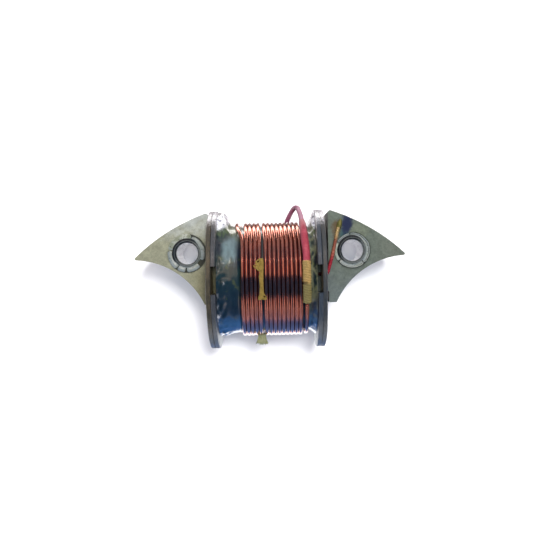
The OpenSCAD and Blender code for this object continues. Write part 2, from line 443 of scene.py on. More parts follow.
class CoreSettings(PropertyGroup):
    """Laminated core"""
    edge_round: FloatProperty(
        name="Edge rounding", description="Rounding of each lamination's sheared edges",
        default=0.07 * MM, min=0.01 * MM, unit="LENGTH")
    front_round: FloatProperty(
        name="Front rounding", description="Rounding of the front lamination's edges",
        default=0.16 * MM, min=0.01 * MM, unit="LENGTH")
    left_face: FloatVectorProperty(
        name="Left face", description="Passivated plating on the left ear",
        subtype="COLOR", default=display(144, 146, 124), min=0, max=1)
    right_face: FloatVectorProperty(
        name="Right face", description="Duller plating on the right ear",
        subtype="COLOR", default=display(96, 106, 96), min=0, max=1)
    burnt: FloatVectorProperty(
        name="Burnt plating", description="Plating burnt blue beside the solder joint",
        subtype="COLOR", default=display(22, 32, 58), min=0, max=1)
    sheared: FloatVectorProperty(
        name="Sheared edge", description="Bare steel of the laminations' edges",
        subtype="COLOR", default=display(122, 120, 108), min=0, max=1)


class EyeletSettings(PropertyGroup):
    """Eyelets"""
    bore_r: FloatProperty(
        name="Bore radius", description="Radius of the bore for the screw",
        default=2.6 * MM, unit="LENGTH")
    wall: FloatProperty(
        name="Wall", description="Wall of the eyelet tube", default=0.5 * MM, unit="LENGTH")
    head_r: FloatProperty(
        name="Head radius", description="Radius of the flush head on the back",
        default=3.85 * MM, unit="LENGTH")
    lip_h: FloatProperty(
        name="Lip height", description="Height of the rolled lip over the core's face",
        default=0.56 * MM, unit="LENGTH")
    zinc: FloatVectorProperty(
        name="Zinc", description="Plated metal of the eyelets",
        subtype="COLOR", default=display(150, 158, 156), min=0, max=1)


class CheekSettings(PropertyGroup):
    """Cheek discs"""
    rim_round: FloatProperty(
        name="Rim rounding", description="Rounding of the discs' rims",
        default=0.16 * MM, unit="LENGTH")
    warp: FloatProperty(
        name="Warp", description="How far a disc bends out of flat",
        default=0.12 * MM, unit="LENGTH")
    board: FloatVectorProperty(
        name="Outer board", description="Olive-brown pressboard of the outer discs",
        subtype="COLOR", default=display(46, 43, 32), min=0, max=1)
    fibre: FloatVectorProperty(
        name="Inner fibre", description="Grey-lavender fibre of the inner discs",
        subtype="COLOR", default=display(46, 49, 52), min=0, max=1)


class CambricSettings(PropertyGroup):
    """Cambric wrap"""
    lap_step: FloatProperty(
        name="Lap step", description="Height of the edge where the wrap ends on itself",
        default=0.16 * MM, unit="LENGTH")
    ripple: FloatProperty(
        name="Ripple", description="Height of the cloth's unevenness",
        default=0.16 * MM, unit="LENGTH")
    varnish: FloatVectorProperty(
        name="Varnish", description="Blue-green varnish where it is thin",
        subtype="COLOR", default=display(13, 33, 33), min=0, max=1)
    deep_varnish: FloatVectorProperty(
        name="Deep varnish", description="Nearly black varnish where it is thick",
        subtype="COLOR", default=display(9, 20, 30), min=0, max=1)


class WindingSettings(PropertyGroup):
    """Outer layer of wire"""
    wire_d: FloatProperty(
        name="Wire diameter", description="Diameter of the wire over its enamel",
        default=1.0 * MM, unit="LENGTH")
    turns: IntProperty(
        name="Turns", description="Turns in the outer layer", default=14, min=6, max=15)
    turns_before_tape: IntProperty(
        name="Turns before the tape", description="Turns to the left of the tie tape", default=5)
    pitch: FloatProperty(
        name="Pitch", description="Distance from one turn to the next",
        default=1.02 * MM, unit="LENGTH")
    tape_gap: FloatProperty(
        name="Tape gap", description="Extra gap where the tie tape comes out",
        default=0.4 * MM, unit="LENGTH")
    first_x: FloatProperty(
        name="First turn", description="Place of the first turn along the coil",
        default=-6.5 * MM, unit="LENGTH")
    enamel: FloatVectorProperty(
        name="Enamelled copper", description="Red-brown enamel over copper",
        subtype="COLOR", default=display(186, 112, 92), min=0, max=1)


class TapeSettings(PropertyGroup):
    """Tie tape"""
    cotton: FloatVectorProperty(
        name="Cotton", description="Yellow cotton of the tape",
        subtype="COLOR", default=display(116, 96, 42), min=0, max=1)
    tail_cotton: FloatVectorProperty(
        name="Tail", description="Greener, paler cotton of the frayed tail",
        subtype="COLOR", default=display(138, 141, 112), min=0, max=1)


class LeadSettings(PropertyGroup):
    """Splice, sleeves and leads"""
    splice_d: FloatProperty(
        name="Splice diameter", description="Diameter of the woven sleeve over the splice",
        default=2.1 * MM, unit="LENGTH")
    sleeve_d: FloatProperty(
        name="Sleeve diameter", description="Diameter of the red sleeve",
        default=1.85 * MM, unit="LENGTH")
    lead_d: FloatProperty(
        name="Lead diameter", description="Diameter of the insulated lead",
        default=1.2 * MM, unit="LENGTH")
    lead_length: FloatProperty(
        name="Lead length", description="Length of the insulated lead",
        default=61 * MM, unit="LENGTH")
    tip_d: FloatProperty(
        name="Tip diameter", description="Diameter of the bare twisted end",
        default=0.7 * MM, unit="LENGTH")
    earth_d: FloatProperty(
        name="Earth wire diameter", description="Diameter of the earth wire",
        default=0.84 * MM, unit="LENGTH")
    yarn: FloatVectorProperty(
        name="Yarn", description="Orange-yellow yarn of the splice's sleeve",
        subtype="COLOR", default=display(164, 136, 84), min=0, max=1)
    stained_yarn: FloatVectorProperty(
        name="Stained yarn", description="Olive yarn that the varnish has soaked",
        subtype="COLOR", default=display(110, 104, 66), min=0, max=1)
    red: FloatVectorProperty(
        name="Red sleeve", description="Red sleeve on the lead",
        subtype="COLOR", default=display(132, 50, 62), min=0, max=1)
    insulation: FloatVectorProperty(
        name="Lead insulation", description="Faded red insulation of the lead",
        subtype="COLOR", default=display(136, 78, 104), min=0, max=1)


class CoilSettings(PropertyGroup):
    """All the coil's settings"""
    stage: PointerProperty(type=StageSettings)
    core: PointerProperty(type=CoreSettings)
    eyelets: PointerProperty(type=EyeletSettings)
    cheeks: PointerProperty(type=CheekSettings)
    cambric: PointerProperty(type=CambricSettings)
    winding: PointerProperty(type=WindingSettings)
    tape: PointerProperty(type=TapeSettings)
    leads: PointerProperty(type=LeadSettings)


# ---------------------------------------------------------------- routes, in millimetres

SLEEVE_ROUTE = [
    (8.6, -2.5, 20.3), (8.6, -1, 20.1), (8.5, 0.6, 19.8), (8.35, 2.1, 19.3),
    (8.2, 3.6, 18.6), (8.1, 5, 17.5), (8, 6.2, 16.2), (7.9, 7.2, 14.7),
]
SLEEVE_TAPER = [
    (0, 0.96), (0.3, 0.97), (0.45, 1), (0.6, 1), (0.75, 0.97), (0.87, 0.9), (1, 0.76),
]
LEAD_ROUTE = [
    (7.9, 7.2, 14.7), (7.8, 8, 13.4), (7.7, 8.9, 12), (7.5, 9.8, 10.5), (7.3, 10.6, 8.9),
    (7.1, 11.1, 7.3), (6.7, 11.3, 5.7), (6.2, 11, 4.1), (5.6, 10.2, 2.4), (5, 9.1, 0.7),
    (4.5, 7.9, -1.1), (4.1, 6.6, -3), (3.9, 5, -4.9), (3.7, 3.1, -6.6), (3.5, 1, -8),
    (3.3, -1.3, -9), (3.2, -3.8, -9.5), (3.1, -6.4, -9.6), (3, -9, -9.6), (2.6, -11.6, -9.6),
    (1.5, -13.9, -9.6), (-0.5, -15.3, -9.6), (-2.9, -15, -9.6), (-4.7, -13.4, -9.6),
    (-5.5, -11.1, -9.6), (-5.8, -8.5, -9.6), (-5.8, -5.9, -9.6), (-5.8, -3.3, -9.6),
]
EARTH_ROUTE = [
    (11.55, -5.6, 15.9), (12.4, -5.6, 15.9), (13.2, -5.6, 15.9), (13.7, -5.4, 15.75),
    (14, -4.9, 15.35), (14.2, -4.3, 14.9), (14.4, -3.7, 14.58), (14.63, -3, 14.44),
    (15.1, -1.3, 14.44), (15.5, 0.4, 14.44), (15.9, 2.2, 14.44), (16.3, 4, 14.44),
    (16.7, 5.6, 14.44),
]


# ---------------------------------------------------------------- stage

CAMERA_SPOT = (0.7 * MM, -4.66 * MM, 188 * MM)
CAMERA_LENS = 47.87
CAMERA_SHIFT = (-0.00556, 0.00185)
CAMERA_TURN = -1.18
DAYLIGHT = (1, 0.99, 0.97)
# Heights over the floor of what is only mirrored in the coil
FLAG_LIFT, CARD_LIFT = 0.2 * MM, 0.4 * MM


def soft_light(name, spot, aim, width, height, level, colour, lights=True, mirrored=True):
    """A rectangle of one brightness: it lights what is dull, is mirrored in what shines, or both."""
    light = bpy.data.lights.new(name, "AREA")
    light.shape = "RECTANGLE"
    light.size, light.size_y = width, height
    light.energy = level * math.pi * width * height
    light.color = colour
    obj = bpy.data.objects.new(name, light)
    bpy.context.scene.collection.objects.link(obj)
    obj.location = spot
    obj.rotation_euler = (Vector(aim) - Vector(spot)).to_track_quat("-Z", "Y").to_euler()
    obj.visible_camera = False
    obj.visible_diffuse = lights
    obj.visible_glossy = mirrored
    return obj


def make_camera():
    """Straight down on the coil's front, close enough for a strong perspective."""
    camera = bpy.data.cameras.new("camera")
    camera.lens = CAMERA_LENS
    camera.shift_x, camera.shift_y = CAMERA_SHIFT
    camera.clip_start = 0.01
    obj = bpy.data.objects.new("camera", camera)
    bpy.context.scene.collection.objects.link(obj)
    obj.location = CAMERA_SPOT
    obj.rotation_euler = (0, 0, math.radians(CAMERA_TURN))
    bpy.context.scene.camera = obj


def make_sky(level):
    """A dim blue sky with a pale horizon, a bright window over the coil's top edge and a small lamp."""
    overhead, low_blue, horizon = (0.05, 0.13, 0.28), (0.05, 0.19, 0.48), (0.8, 0.84, 0.9)
    window_foot, window_head = (0.74, 0.74, 0.8), (1.5, 1.15, 0.95)
    lamp_light = (14, 13, 12)
    world = bpy.data.worlds.new("sky")
    bpy.context.scene.world = world
    sky = Graph(world)
    x, y, z = sky.split(sky.node("TexCoord", output="Generated"))
    colour = sky.mix(sky.step(z, 0.45, 0.2), overhead, low_blue)
    colour = sky.mix(sky.step(z, 0.14, 0.04), colour, horizon)
    window = sky.step(y, 0.06, 0.16) * sky.step(abs(x), 0.55, 0.42) * sky.step(z, 0.03, 0.12)
    colour = sky.mix(window, colour, sky.mix(sky.step(z, 0.5, 0.95), window_foot, window_head))
    lamp = sky.step(y * 0.63 + z * 0.777, 0.9988, 0.9993)
    colour = sky.mix(lamp, colour, lamp_light)
    background = sky.node("Background", None, {"Color": colour, "Strength": level})
    sky.node("OutputWorld", None, {"Surface": background})


def flat_sheet(name, low_y, high_y, half, height, finish):
    """A level rectangle across the stage."""
    mesh = bpy.data.meshes.new(name)
    corners = [(-half, low_y), (half, low_y), (half, high_y), (-half, high_y)]
    mesh.from_pydata([(*corner, height) for corner in corners], [], [[0, 1, 2, 3]])
    mesh.materials.append(finish)
    sheet = bpy.data.objects.new(name, mesh)
    bpy.context.scene.collection.objects.link(sheet)
    return sheet


def mirror_flag(name, low_y, high_y, half, floor_z, level, colour):
    """A dim sheet on the floor that only shows mirrored in what is glossy."""
    glow = Finish(name).surface(
        Base_Color=(0, 0, 0), Roughness=1.0, Specular_IOR_Level=0.0, Emission_Color=colour,
        Emission_Strength=level)
    flag = flat_sheet(name, low_y, high_y, half, floor_z + FLAG_LIFT, glow)
    flag.visible_camera = False
    flag.visible_diffuse = False
    flag.visible_shadow = False
    return flag


def make_stage(settings):
    """The camera, the sky, the lights, the pale floor, and the cards and flags mirrored in the coil."""
    make_camera()
    make_sky(settings.sky_level)
    look = bpy.context.scene.view_settings
    look.view_transform = "Standard"
    look.look = "None"
    coil = (0, AXIS.y, AXIS.z)
    for name, spot, width, level in (
        ("key", (0.05, 0.07, 0.38), 0.08, settings.key_level),
        ("fill", (0.02, 0.02, 0.45), 0.5, settings.fill_level),
        ("front", (0, -0.005, 0.30), 0.06, settings.front_level),
    ):
        soft_light(name, spot, coil, width, width, level, DAYLIGHT, mirrored=False)
    for side in (-1, 1):
        soft_light(
            f"side_{'left' if side < 0 else 'right'}", (side * 0.17, -0.18, 0.12), coil,
            0.09, 0.12, settings.side_level, (1.0, 0.78, 0.6))
    floor_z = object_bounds()[0][2] - 0.01 * MM
    for name, low, high, half, level, colour in (
        ("white_card", 0.03, 0.05, 0.05, settings.white_level, (1.0, 0.97, 0.93)),
        ("rim_card", -0.032, -0.022, 0.013, settings.rim_level, (0.9, 0.95, 1.0)),
    ):
        across = (low + high) / 2
        soft_light(
            name, (0, across, floor_z + CARD_LIFT), (0, across, 1), 2 * half, high - low, level, colour,
            lights=False)
    paper = Finish("floor_paper").surface(
        Base_Color=tuple(settings.floor_colour), Roughness=0.8, Specular_IOR_Level=0.1)
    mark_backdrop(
        flat_sheet("floor", -1.5, 1.5, 1.5, floor_z, paper),
        mirror_flag("dim_flag", 0.013, 1.2, 0.5, floor_z, settings.dim_level, (1.0, 0.8, 0.76)),
        mirror_flag("blue_flag", -1.2, -0.034, 0.5, floor_z, settings.blue_level, (0.12, 0.32, 0.86)))


# ---------------------------------------------------------------- finishes

def brighter(finish, colour, amount):
    """Multiplies a colour by an amount about 1."""
    return finish.mix(1.0, colour, finish.join(amount, amount, amount), way="MULTIPLY")


def steel_finish(settings):
    """Passivated plating on the faces, bare sheared steel on the edges, burnt beside the solder.

    The left ear is paler and gilded below, the right one duller; grime and painted shade darken the face
    round each flange, and a painted shadow line lies along each flange's petals.
    """
    look = Finish("plated_steel")
    x, y, z = look.x, look.y, look.z
    face = look.step(abs(look.facing()[2]), 0.5, 0.85)
    clouds = look.noise(0.3, 4, 0.6)
    patches = look.noise(0.9, 4, 0.65, warp=0.4)
    speckle = look.noise(3.4, 3, 0.6)

    # The two ears
    left = look.mix(
        look.step(y + (clouds - 0.5) * 12, 2, 9), tuple(settings.left_face), display(170, 176, 170))
    gold = look.step(x + (clouds - 0.5) * 6, -22, -15) * look.step(y, 0, -7)
    left = look.mix(gold * 0.8, left, display(118, 114, 86))
    right = look.mix(
        look.step(y + (clouds - 0.5) * 10, -2, -9), tuple(settings.right_face), display(100, 110, 107))
    tip = look.step(x, 24, 31)
    right = look.mix(tip * 0.6, right, display(106, 111, 100))
    light_spot = look.step(look.blot(21.8, 5.0, 3.0, 2.4) + clouds, 1.6, 0.5)
    right = look.mix(light_spot * 0.35, right, display(124, 132, 108))
    plating = look.mix(look.step(x, -8, 8), left, right)
    mottle = look.step(patches, 0.3, 0.7, 0.84, 1.14) * look.step(speckle, 0.3, 0.7, 0.9, 1.1)
    plating = brighter(look, plating, mottle)

    # Grime and painted shade round the flanges, and a painted shadow line along the petals' rims, which
    # reaches farther on the left ear
    ring = look.from_hole()
    grime_and_shade_halo = look.step(ring + patches - 0.5, 5.2, 4.3)
    plating = look.mix(grime_and_shade_halo * 0.3, plating, display(60, 68, 62))
    shadow_line_r = look.step(x, -8, 8, 4.8, 4.5) + (speckle - 0.5) * 0.3
    # Painted shadow: a dark line on the face just outside the petals' rims, left out beside the flat
    # petal
    outline = look.step(ring, shadow_line_r, shadow_line_r - 0.15) * look.step(y - look.beside_hole(), 5.4, 3.8)
    plating = look.mix(outline * 0.85, plating, display(26, 30, 28))

    # Burnt, teal and rusty stains beside the solder joint
    uneven = patches - 0.5
    scorch = look.blot(18.75, 6.4, 1.35, 2.5, slant=0.12)
    burnt = look.step(scorch + uneven * 1.8 + (speckle - 0.5) * 0.6, 1.7, 0.35)
    teal = look.step(look.blot(18.0, 4.1, 1.1, 1.5) + uneven * 1.6, 1.8, 0.1)
    rust = look.step(look.blot(16.4, 5.2, 1.3, 2.2) + uneven * 2.0, 1.6, 0.1)
    plating = look.mix(rust * 0.7, plating, display(92, 70, 40))
    plating = look.mix(teal * 0.8, plating, display(48, 84, 88))
    plating = look.mix(burnt, plating, tuple(settings.burnt))

    # The sheared edges: each sheet has its own tone, and its lower half is torn and darker
    sheet = z.whole()
    depth = z - sheet
    tone = look.node("TexWhiteNoise", {"noise_dimensions": "1D"}, {"W": sheet + 0.5})
    streaks = look.noise(2.2, 3, stretch=(1, 1, 0.15))
    edge = look.mix(look.step(depth, 0.5, 0.7), display(88, 82, 70), tuple(settings.sheared))
    edge = brighter(look, edge, (tone * 0.35 + 0.75) * look.step(streaks, 0.3, 0.7, 0.75, 1.15))
    edge = look.mix(look.step(look.noise(0.7, 4, 0.7), 0.52, 0.68) * 0.55, edge, display(96, 66, 42))

    height = look.mix(face, streaks, patches * 0.6 + speckle * 0.4)
    return look.surface(
        Base_Color=look.mix(face, edge, plating),
        Metallic=look.step(face, 0, 1, 0.75, 0.45) - burnt * 0.3,
        Roughness=look.step(speckle, 0.3, 0.7, 0.34, 0.5),
        Normal=look.relief(height, 0.05, 0.5),
    )


# Radii on an eyelet's front, in millimetres: the bore's edge, the root between the roll and the
# flange, painted dark as shade, the roll's crest with its painted highlight, and where the flange's
# petals begin
BORE_EDGE, ROOT_IN, ROOT_OUT, CREST_R, PETALS_IN = 2.66, 2.63, 3.29, 3.08, 3.5
FRONT_Z = 13.8


def zinc_finish(name, colour, grime):
    """Plated metal, with painted light: a near-white bore wall, painted shade in the cracks and in the
    roll's root, and a painted highlight along the crest.
    """
    look = Finish(name)
    ring = look.from_hole()
    scratches = look.noise(1.6, 3, 0.6)
    blotches = look.noise(0.7, 3, 0.6)
    front = look.step(look.z, FRONT_Z - 0.1, FRONT_Z + 0.1)
    shade = look.step(look.y - look.beside_hole() + (blotches - 0.5) * 2, -1.8, 2.4)
    rim = ring - ROOT_OUT - shade * 0.4
    # Painted shade: the roll's root is painted nearly black, wider and darker on the shaded side, with a
    # painted highlight along the crest
    root = front * look.step(ring, ROOT_IN - 0.05, ROOT_IN + 0.05) * look.step(rim, 0.09, -0.09)
    painted_crest_highlight = look.step(abs(ring - CREST_R), 0.09, 0.02)
    petals = look.step(ring, PETALS_IN - 0.1, PETALS_IN + 0.1)
    # Painted shade on the petals' steep sides, in the cracks and along their rims
    painted_steep_shade = front * look.step(look.facing()[2], 0.92, 0.6) * petals
    dark = (root * (0.82 + shade * 0.18) * (1 - painted_crest_highlight * 0.35)).at_least(painted_steep_shade * 0.92)
    metal = look.mix(look.step(blotches, 0.42, 0.62) * grime, colour, display(112, 120, 98))
    metal = brighter(look, metal, look.step(scratches, 0.3, 0.7, 0.88, 1.1))
    metal = look.mix(dark, metal, display(8, 14, 20))
    # Painted highlight: the bore's wall is painted near white and barely metallic
    bore = look.step(ring, BORE_EDGE + 0.04, BORE_EDGE - 0.04)
    bore *= look.step(look.z, FRONT_Z + 0.1, FRONT_Z - 0.2)
    return look.surface(
        Base_Color=look.mix(bore, metal, display(250, 250, 252)),
        Metallic=look.step(bore.at_least(dark), 0, 1, 0.5, 0.1),
        Roughness=look.step(scratches, 0.3, 0.7, 0.26, 0.4),
        Normal=look.relief(scratches, 0.02, 0.4),
    )


def board_finish(name, colour, streak_colour, gloss):
    """Varnished fibre in thin layers: streaky rims, with a painted highlight on the upper rims and
    painted light lower down.
    """
    look = Finish(name)
    layers = look.noise(2.4, 4, 0.7, stretch=(3.5, 0.35, 0.35))
    fibres = look.noise(1.4, 4, 0.65)
    rim = look.step(abs(look.facing()[0]), 0.75, 0.4)
    tone = look.mix(look.step(layers, 0.42, 0.66) * 0.8, colour, streak_colour)
    tone = brighter(look, tone, look.step(fibres, 0.3, 0.7, 0.72, 1.2))
    tone = look.mix(look.step(look.x, -2, 2) * 0.45, tone, display(30, 46, 60))
    # Millimetres over the winding's axis, with an uneven border
    up = look.y - AXIS.y / MM + (fibres - 0.5) * 5
    # Painted highlight: the upper rims are painted near white towards the front
    painted_top_highlight = look.step(up, 12.5, 15.5) * look.step(layers, 0.62, 0.44) * look.step(look.z, 6, 10)
    tone = look.mix(painted_top_highlight * 0.85, tone, display(214, 214, 222))
    # Painted light: lighter grey towards the bottom, with the gloss cut there too
    worn = look.step(up, -8, -14)
    tone = look.mix(worn * 0.5, tone, display(124, 122, 108))
    dark = look.step(look.noise(5.0, 3, stretch=(4, 0.5, 0.5)), 0.52, 0.66) * rim
    return look.surface(
        Base_Color=look.mix(dark * 0.65, tone, display(26, 24, 24)),
        Roughness=look.step(fibres, 0.3, 0.7, 0.3, 0.55),
        Coat_Weight=look.step(fibres, 0.35, 0.6, gloss, gloss * 0.5) * (1 - worn * 0.8),
        Coat_Roughness=0.2,
        Normal=look.relief(layers * 0.6 + fibres * 0.4, 0.12, 0.6),
    )


def fibre_finish(name, colour, scale):
    """Plain paper or fibre, for the pieces inside."""
    look = Finish(name)
    strands = look.noise(scale, 5, 0.7, stretch=(0.5, 1, 1))
    flecks = look.noise(scale * 3, 2)
    contrast = look.step(strands, 0.3, 0.7, 0.8, 1.15) * look.step(flecks, 0.3, 0.7, 0.94, 1.06)
    return look.surface(
        Base_Color=brighter(look, colour, contrast),
        Roughness=look.step(strands, 0.3, 0.7, 0.6, 0.8),
        Normal=look.relief(strands, 0.04, 0.4),
    )


def cambric_finish(settings):
    """Glossy varnish over a fine cloth: blue-green, nearly black where thick, olive near the top.

    It has a painted grey highlight on its left part, painted shade low down and under the outer layer, a
    painted blue reflection at its foot, and painted highlights, in a cracked pattern, on its turned-up
    edges.
    """
    look = Finish("varnished_cambric")
    radius, angle = look.polar(AXIS.y, AXIS.z)
    pools = look.noise(0.22, 3, 0.6, warp=0.6)
    runs = look.noise(0.7, 4, 0.6, stretch=(1.4, 0.6, 0.6))
    base = look.mix(look.step(pools, 0.4, 0.6), tuple(settings.varnish), tuple(settings.deep_varnish))
    # Painted highlight: a broad grey-teal patch on the left part
    painted_grey_highlight = look.step(abs(look.x + 9.6), 2.4, 0.8) * look.step(angle + (runs - 0.5) * 0.3, 0.2, 0.46)
    base = look.mix(painted_grey_highlight * look.step(angle - look.x * 0.05, 1.45, 1.2), base, display(80, 98, 102))
    right = look.step(look.x, 8.0, 9.0)
    base = look.mix(right * look.step(runs, 0.4, 0.6) * 0.8, base, display(92, 94, 72))
    top = look.step(angle + (runs - 0.5) * 0.7, 0.8, 1.05)
    base = look.mix(top * 0.8, base, display(58, 74, 36))
    # Painted shade: darker navy on the lower side, less so at the right end
    low = look.step(angle + (pools - 0.5) * 0.8, 0.1, -0.4)
    base = look.mix(low * (0.85 - right * 0.4), base, display(8, 22, 34))
    # Painted reflection: blue along the foot
    foot = look.step(angle + (runs - 0.5) * 0.3, -0.62, -0.9)
    base = look.mix(foot * 0.8, base, display(22, 62, 94))
    olive = look.step(look.noise(0.34, 2, warp=0.8), 0.56, 0.68) * look.step(angle, -0.7, -0.1)
    base = look.mix(olive * 0.5, base, display(56, 62, 24))
    # Painted shade: dark under the outer layer of wire, which lets it show only between the turns
    under = look.step(look.x, -7.0, -6.4) * look.step(look.x, 8.2, 7.6)
    base = look.mix(under * 0.85, base, display(10, 8, 10))
    # Painted highlight: the turned-up edges are painted pale, broken by a cracked pattern, and only
    # towards the front
    cracked = look.step(radius + (runs - 0.5) * 1.2, 14.1, 14.9)
    cracks = look.step(look.noise(1.1, 4, 0.7), 0.5, 0.62)
    painted_collar_sheen = look.mix(cracks, display(214, 216, 222), display(112, 112, 124))
    painted_collar_sheen = look.mix(look.step(look.z, 10, 4), painted_collar_sheen, display(58, 76, 72))
    base = look.mix(cracked, base, painted_collar_sheen)
    # The cloth's two sets of threads, which run askew
    arc = angle * WRAP_FACE_R
    threads = ((look.x + arc) * 14).sine() * ((look.x - arc) * 14).sine()
    height = threads * 0.12 + runs * 0.6
    return look.surface(
        Base_Color=brighter(look, base, look.step(runs, 0.3, 0.7, 0.8, 1.2)),
        Roughness=look.step(runs, 0.3, 0.7, 0.28, 0.46),
        Coat_Weight=look.step(pools, 0.35, 0.65, 1.0, 0.6),
        Coat_Roughness=0.12,
        Normal=look.relief(height, 0.10, 0.45),
    )


def enamel_finish(name, colour, dark):
    """Clear red-brown enamel over copper, dark where thick, with a painted warm highlight low on the
    front.
    """
    look = Finish(name)
    along = look.noise(0.5, 3, stretch=(2.2, 0.5, 0.5))
    fine = look.noise(3.5, 3, 0.6, stretch=(1, 0.4, 0.4))
    contrast = look.step(along, 0.3, 0.7, 0.72, 1.2) * look.step(fine, 0.3, 0.7, 0.9, 1.1)
    thick = look.step(look.noise(0.8, 4, stretch=(2.5, 0.4, 0.4)), 0.58, 0.72)
    tone = look.mix(thick * 0.35, brighter(look, colour, contrast), dark)
    _, angle = look.polar(AXIS.y, AXIS.z)
    # Painted highlight: a paler, less metallic band low on the front
    pale = look.step(angle, -0.4, -0.55) * look.step(angle + (along - 0.5) * 0.3, -0.9, -0.65)
    tone = look.mix(pale * 0.35, tone, display(172, 96, 70))
    return look.surface(
        Base_Color=tone,
        Metallic=1 - pale * 0.3,
        Roughness=look.step(fine, 0.3, 0.7, 0.14, 0.22),
        Coat_Weight=look.step(along, 0.3, 0.7, 0.9, 0.5),
        Coat_Roughness=0.08,
        Normal=look.relief(fine, 0.02, 0.4),
    )


def cotton_finish(name, colour, stain, split=None):
    """Varnished cotton with soaked patches; over the angles of split, the splice turns to its stain, and
    painted shade darkens its crease.
    """
    look = Finish(name)
    patches = look.noise(1.1, 4, 0.65)
    threads = look.noise(6, 3, 0.7)
    share = look.step(patches, 0.46, 0.64) * 0.55
    contrast = look.step(threads, 0.3, 0.7, 0.6, 1.25)
    if split:
        _, angle = look.polar(AXIS.y, AXIS.z)
        share = share.at_least(look.step(angle + (patches - 0.5) * 0.04, split[0], split[1]) * 0.9)
        ribs = (angle * SPLICE_R * TAU / RIB_PITCH + look.x * 2.4).sine()
        contrast = contrast * look.step(ribs + (patches - 0.5) * 3, -0.9, 0.6, 0.72, 1.08)
    tone = look.mix(share, colour, stain)
    if split:
        # Painted shade: a dark line along the crease where the splice is pinched
        off_crease = abs(angle + (patches - 0.5) * 0.05 - split[0])
        crease = look.step(off_crease, 0.035, 0.012) * look.step(look.x, 9.1, 8.3)
        tone = look.mix(crease * 0.8, tone, display(58, 46, 28))
    tone = brighter(look, tone, contrast)
    return look.surface(
        Base_Color=tone,
        Roughness=look.step(patches, 0.3, 0.7, 0.5, 0.75),
        Normal=look.relief(threads, 0.12, 0.8),
    )


def sleeve_finish(name, colour, faded, gloss):
    """Soft plastic sleeving, a little faded and scuffed."""
    look = Finish(name)
    clouds = look.noise(0.5, 3)
    scuffs = look.noise(2.8, 4, 0.7)
    tone = look.mix(look.step(clouds, 0.4, 0.7) * 0.5, colour, faded)
    tone = brighter(look, tone, look.step(scuffs, 0.3, 0.7, 0.85, 1.12))
    return look.surface(
        Base_Color=tone,
        Roughness=look.step(scuffs, 0.3, 0.7, 0.42, 0.6),
        Specular_IOR_Level=0.25,
        Coat_Weight=look.step(scuffs, 0.35, 0.65, gloss, gloss * 0.4),
        Coat_Roughness=0.2,
        Normal=look.relief(scuffs, 0.05, 0.5),
    )


def earth_finish():
    """Red enamel that fades into bare, tinned copper towards the solder, with painted shade where it
    leaves the cheek.
    """
    look = Finish("earth_wire")
    fine = look.noise(2.4, 4, 0.65)
    up = look.y + (fine - 0.5) * 1.6
    worn = look.mix(look.step(up, -2.6, 0.4), display(132, 30, 42), display(170, 104, 84))
    bare = look.mix(look.step(up, 2.0, 4.2), worn, display(214, 184, 128))
    # Painted shade: dark where the wire comes out beside the cheek
    bare = look.mix(look.step(look.x, 13.2, 12.4), bare, display(40, 14, 18))
    return look.surface(
        Base_Color=brighter(look, bare, look.step(fine, 0.3, 0.7, 0.8, 1.15)),
        Metallic=look.step(up, -2.6, 2, 0.3, 0.75),
        Roughness=look.step(fine, 0.3, 0.7, 0.24, 0.4),
        Normal=look.relief(fine, 0.04, 0.5),
    )


def tinned_finish(name, colour):
    """Bare metal, tinned or soldered, with dull flecks."""
    look = Finish(name)
    fine = look.noise(2.8, 4, 0.65)
    tone = brighter(look, colour, look.step(fine, 0.3, 0.7, 0.7, 1.15))
    return look.surface(
        Base_Color=tone,
        Metallic=0.85,
        Roughness=look.step(fine, 0.3, 0.7, 0.28, 0.5),
        Normal=look.relief(fine, 0.06, 0.6),
    )


# ---------------------------------------------------------------- core and eyelets

def refinish(node, finish):
    """Gives a CAD node that is shown a finish; its shape stays."""
    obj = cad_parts[node]
    if not obj.material_slots:
        obj.data.materials.append(finish)
    for slot in obj.material_slots:
        slot.material = finish
    return obj


def make_core(settings):
    """Rounds each lamination's edges, the front one's most, and gives it its finish."""
    finish = steel_finish(settings)
    for number in range(1, LAMINATIONS + 1):
        sheet = refinish(f"lamination_{number:02d}", finish)
        width, segments = settings.edge_round, 2
        if number == LAMINATIONS:
            width, segments = settings.front_round, 3
        modifier(sheet, "WELD", merge_threshold=0.002 * MM)
        modifier(
            sheet, "BEVEL", width=width, segments=segments,
            limit_method="ANGLE", angle_limit=math.radians(40), harden_normals=True,
        )
        modifier(sheet, "WEIGHTED_NORMAL", keep_sharp=True)


# Heights of a petal from its root to its rim: (share of the way, millimetres over the core's face)
LEFT_FLANGE = [(0, 0.42), (0.12, 0.30), (0.3, 0.27), (0.6, 0.36), (0.85, 0.30), (1, 0.14)]
FLAT_FLANGE = [(0, 0.40), (0.12, 0.26), (0.3, 0.20), (0.6, 0.18), (0.85, 0.15), (1, 0.08)]
RIGHT_FLANGE = [
    (0, 0.46), (0.16, 0.40), (0.34, 0.12), (0.62, 0.10), (0.82, 0.34), (0.93, 0.34), (1, 0.16),
]
# The petals round each hole: start and end in degrees, rim radius in millimetres, heights, finish
LEFT_PETALS = [
    (-24, 73, 4.35, LEFT_FLANGE, 0), (77, 167, 4.75, FLAT_FLANGE, 1),
    (170.5, 233.5, 4.7, LEFT_FLANGE, 0), (237, 264, 4.6, LEFT_FLANGE, 0),
    (268.5, 314, 4.6, LEFT_FLANGE, 0),
]
RIGHT_PETALS = [
    (-46, 96, 4.3, RIGHT_FLANGE, 0), (99, 149, 4.25, RIGHT_FLANGE, 0),
    (152, 215, 4.35, FLAT_FLANGE, 1), (219, 310, 4.3, RIGHT_FLANGE, 0),
]


PETAL_ROOT_R = 3.02
PETAL_FOOT = -0.02


